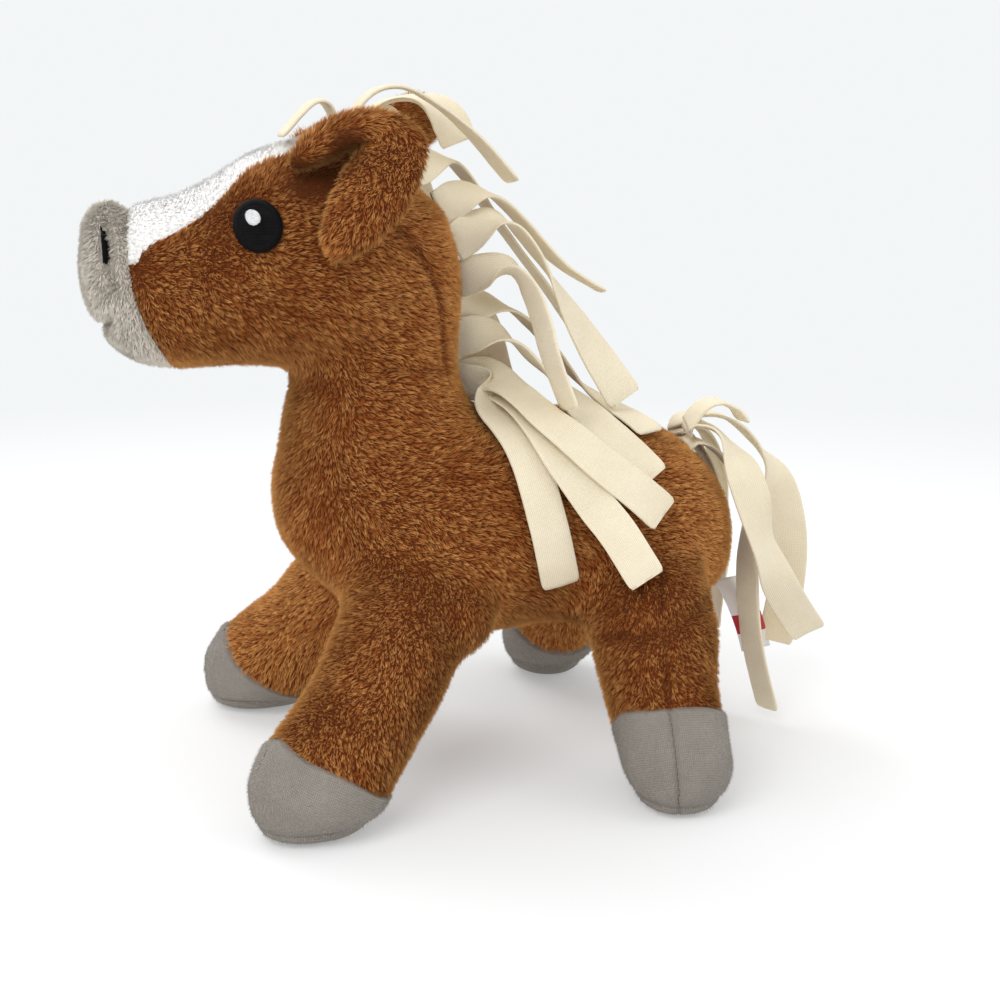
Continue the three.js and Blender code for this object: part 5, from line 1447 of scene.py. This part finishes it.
def ribbonSection(width, thickness, turn):
    # a flat oval with square shoulders: a superellipse of a high power
    c, s = np.cos(turn), np.sin(turn)
    return signedPower(c, 0.28) * width / 2, signedPower(s, 0.5) * thickness / 2


def eased(values, along, reach):
    # each row becomes the bell-weighted mean of its neighbours; near the ends the bell narrows
    near = np.minimum(along, along[-1] - along)
    wide = np.maximum(np.minimum(reach, near * 0.6), 0.05)
    weight = np.exp(-0.5 * ((along[:, None] - along[None]) / wide[:, None]) ** 2)
    return (weight / weight.sum(1, keepdims=True)) @ values


def ribbonMesh(name, grid, across, along, material):
    # the tube of a strip, its map in mm across and along, closed at both ends by shrinking rings
    first, last = grid[:1].mean(1, keepdims=True), grid[-1:].mean(1, keepdims=True)
    grid = np.concatenate([first + (grid[:1] - first) * 0.02, first + (grid[:1] - first) * 0.8, grid,
                           last + (grid[-1:] - last) * 0.8, last + (grid[-1:] - last) * 0.02])
    along = np.concatenate([[along[0]] * 2, along, [along[-1]] * 2])
    rings, sides = grid.shape[:2]
    faces = gridFaces(rings, sides)
    u = np.broadcast_to(np.concatenate([across, across[:1]])[None], (rings, sides + 1))
    v = np.broadcast_to(along[:, None], (rings, sides + 1))
    points = grid.reshape(-1, 3)
    a, b, c, d = (points[faces[:, k]] for k in range(4))
    outward = (a + b + c + d) / 4 - np.repeat(grid.mean(1)[:-1], sides, axis=0)
    faces, pairs = outwardMap(faces, cornerPairs(u, v), (np.cross(c - a, d - b) * outward).sum())
    return putMesh(name, points, faces, material, pairs)


def addSheet(piece, body, replaced):
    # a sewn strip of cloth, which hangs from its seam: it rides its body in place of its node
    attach(piece, body)
    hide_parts(replaced)


def makeStrip(name, body, seed):
    # an oval section carried along the strip's curve, its width lying the way that the stops give, a little cupped
    m = stripMaking
    stops = np.array(fringeStops[name])
    # the root goes on into the seam that holds it
    inward = unit(stops[0, :3] - stops[1, :3])
    if body == "tail":
        inward = unit(np.array([-2.0, -stops[0, 1] * 0.3, -3.6]))
    root = stops[0, :3] + inward * (m["root"] + m["deeper"].get(name, 0))
    stops = np.concatenate([[np.concatenate([root, stops[0, 3:]])], stops])
    line, place, along = smoothPath(stops[:, :3], m["step"])
    line = eased(line, along, m["soften"])
    ways = np.stack([np.interp(place, np.arange(len(stops)), stops[:, 3 + k]) for k in range(3)], 1)
    ways = eased(ways, along, m["ease"])
    tangent = unit(np.gradient(line, axis=0))
    across = unit(ways - tangent * (tangent * ways).sum(1, keepdims=True))
    through = np.cross(tangent, across)
    rng = np.random.default_rng(seed)
    wave = np.interp(along, np.linspace(0, along[-1], 7), rng.normal(0, m["curl"], 7))
    u, w = ribbonSection(1, 1, np.linspace(0, 2 * np.pi, 32, endpoint=False))
    # the cut end is square with slightly rounded corners; the root is gathered a little
    free = along[-1] - along
    width = m["width"] * (1 - 0.12 * np.exp(-free / 0.5)) * (1 - 0.08 * np.exp(-along / 2.5))
    thick = m["thickness"] * (0.55 + 0.45 * ease(free, 0, 0.9))
    cup = m["cup"] * (u / 0.5) ** 2
    grid = (line[:, None] + across[:, None] * (u[None, :, None] * width[:, None, None])
            + through[:, None] * ((w[None] * thick[:, None]) + cup[None] * (1 + wave[:, None]))[..., None])
    dents = m["dents"] * latticeNoise(grid.reshape(-1, 3), 4.0, seed).reshape(grid.shape[:2])
    grid += through[:, None] * dents[..., None]
    piece = ribbonMesh(name + "_cloth", grid, u * m["width"], along, creamKnit)
    addSheet(piece, body, name)


for number, name in enumerate(fringeStops):
    isTail = name.startswith("tail")
    makeStrip(name, "tail" if isTail else "torso", 60 + number)
print("fringes done")


labelMaking = dict(width=10.0, length=22.0, thickness=0.35, hang=32.0, faceTurn=72.0, swing=0.6, bow=0.9, steps=24,
                   red=colour(178, 46, 58), redFrom=11.5, redTo=17.0)


def makeLabel():
    # the tape hangs from the seam by one corner and swings back: its lean eases off along its length
    m = labelMaking
    low, high = (np.array(corner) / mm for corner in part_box("care_label"))
    turn = math.radians(m["faceTurn"])
    broad = np.array([math.sin(turn), math.cos(turn), 0])
    top = np.array([low[0] + m["width"] / 2 * broad[0] + m["thickness"], 0, high[2]])
    share = np.linspace(0, 1, m["steps"])
    angle = np.radians(m["hang"]) * (1 - m["swing"] * share)
    step = np.stack([np.sin(angle), 0 * angle, -np.cos(angle)], 1) * m["length"] / (m["steps"] - 1)
    line = top + np.concatenate([[np.zeros(3)], np.cumsum(step[:-1], 0)])
    tangent = unit(np.gradient(line, axis=0))
    through = unit(np.cross(tangent, broad))
    u, w = ribbonSection(1, 1, np.linspace(0, 2 * np.pi, 44, endpoint=False))
    bow = m["bow"] * np.sin(np.pi * share)[:, None] * (1 - (2 * u) ** 2)[None]
    grid = (line[:, None] + broad * (u[None, :, None] * m["width"])
            + through[:, None] * (w[None] * m["thickness"] + bow)[..., None])
    piece = ribbonMesh("care_label_tape", grid, u * m["width"], share * m["length"], satin)
    addSheet(piece, "torso", "care_label")


def redPatch(tree, split, base):
    # a plain red block woven into the tape, between two heights of its map
    low = mathNode(tree, "GREATER_THAN", split.outputs[1], labelMaking["redFrom"])
    high = mathNode(tree, "LESS_THAN", split.outputs[1], labelMaking["redTo"])
    return mixColour(tree, mathNode(tree, "MULTIPLY", low, high), base, labelMaking["red"])


satin = knitMaterial("satinTape", colour(214, 208, 206), colour(240, 236, 234), 0.25, 0.25, 0.2, 0.03, 0.3, redPatch)
makeLabel()
print("label done")


studio = dict(world=0.72, backdrop=(0.9, 0.92, 0.93, 1.0), floor=(0.95, 0.95, 0.95, 1), half=4000, fadeNear=0.14,
              fadeFar=0.6, glow=0.3, aim=(0, 0, 0.07), lamps=dict(
                  key=dict(place=(-0.7, -0.75, 1.0), size=0.9, power=8.5),
                  fill=dict(place=(0.9, -0.4, 0.7), size=1.0, power=2.6),
                  back=dict(place=(-0.35, 0.8, 1.0), size=0.9, power=6.5)))


def mixShaders(tree, factor, first, second, sink):
    # the first shader where the factor is 0, the second where it is 1, out to the tree's own output
    mix = tree.nodes.new("ShaderNodeMixShader")
    for socket, source in zip(mix.inputs, (factor, first, second)):
        tree.links.new(source, socket)
    tree.links.new(mix.outputs[0], tree.nodes[sink].inputs["Surface"])


def makeFloor(s):
    # far from the horse the floor takes the backdrop's own colour by an even S, so that no horizon shows
    corners = np.array([[-1, -1, 0], [1, -1, 0], [1, 1, 0], [-1, 1, 0]]) * s["half"]
    floor = putMesh("studio_floor", corners, np.array([[0, 1, 2, 3]]))
    floor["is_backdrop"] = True
    material = bpy.data.materials.new("studioFloor")
    material.use_nodes = True
    tree = material.node_tree
    shader = tree.nodes["Principled BSDF"]
    shader.inputs["Base Color"].default_value = s["floor"]
    shader.inputs["Roughness"].default_value = 0.9
    shader.inputs["Specular IOR Level"].default_value = 0.1
    place = tree.nodes.new("ShaderNodeTexCoord")
    distance = tree.nodes.new("ShaderNodeVectorMath")
    distance.operation = "LENGTH"
    tree.links.new(place.outputs["Object"], distance.inputs[0])
    fade = tree.nodes.new("ShaderNodeMapRange")
    fade.interpolation_type = "SMOOTHSTEP"
    fade.inputs["From Min"].default_value = s["fadeNear"]
    fade.inputs["From Max"].default_value = s["fadeFar"]
    fade.inputs["To Min"].default_value = s["glow"]
    tree.links.new(distance.outputs["Value"], fade.inputs["Value"])
    glow = tree.nodes.new("ShaderNodeEmission")
    glow.inputs["Color"].default_value = s["backdrop"]
    mixShaders(tree, fade.outputs["Result"], shader.outputs[0], glow.outputs[0], "Material Output")
    floor.data.materials.append(material)


def makeLamps(s):
    # square lamps that look at the horse's middle; places in metres
    for name, row in s["lamps"].items():
        lamp = bpy.data.lights.new(name, "AREA")
        lamp.size, lamp.energy = row["size"], row["power"]
        thing = bpy.data.objects.new(name, lamp)
        thing.location = row["place"]
        thing.rotation_mode = "QUATERNION"
        thing.rotation_quaternion = (Vector(s["aim"]) - Vector(row["place"])).to_track_quat("-Z", "Y")
        bpy.context.scene.collection.objects.link(thing)


def makeWorld(s):
    # a white world lights the horse, and the camera, gloss and glass see the backdrop's colour instead
    world = bpy.data.worlds.new("studio")
    bpy.context.scene.world = world
    world.use_nodes = True
    tree = world.node_tree
    lit = tree.nodes["Background"]
    lit.inputs["Color"].default_value = (1, 1, 1, 1)
    lit.inputs["Strength"].default_value = s["world"]
    seen = tree.nodes.new("ShaderNodeBackground")
    seen.inputs["Color"].default_value = s["backdrop"]
    seen.inputs["Strength"].default_value = 1.0
    path = tree.nodes.new("ShaderNodeLightPath")
    direct = mathNode(tree, "MAXIMUM", path.outputs["Is Glossy Ray"], path.outputs["Is Transmission Ray"])
    direct = mathNode(tree, "MAXIMUM", path.outputs["Is Camera Ray"], direct)
    mixShaders(tree, direct, lit.outputs[0], seen.outputs[0], "World Output")


makeFloor(studio)
makeLamps(studio)
makeWorld(studio)
print("studio done")
bpy.context.scene.view_settings.view_transform = "Standard"

low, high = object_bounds()
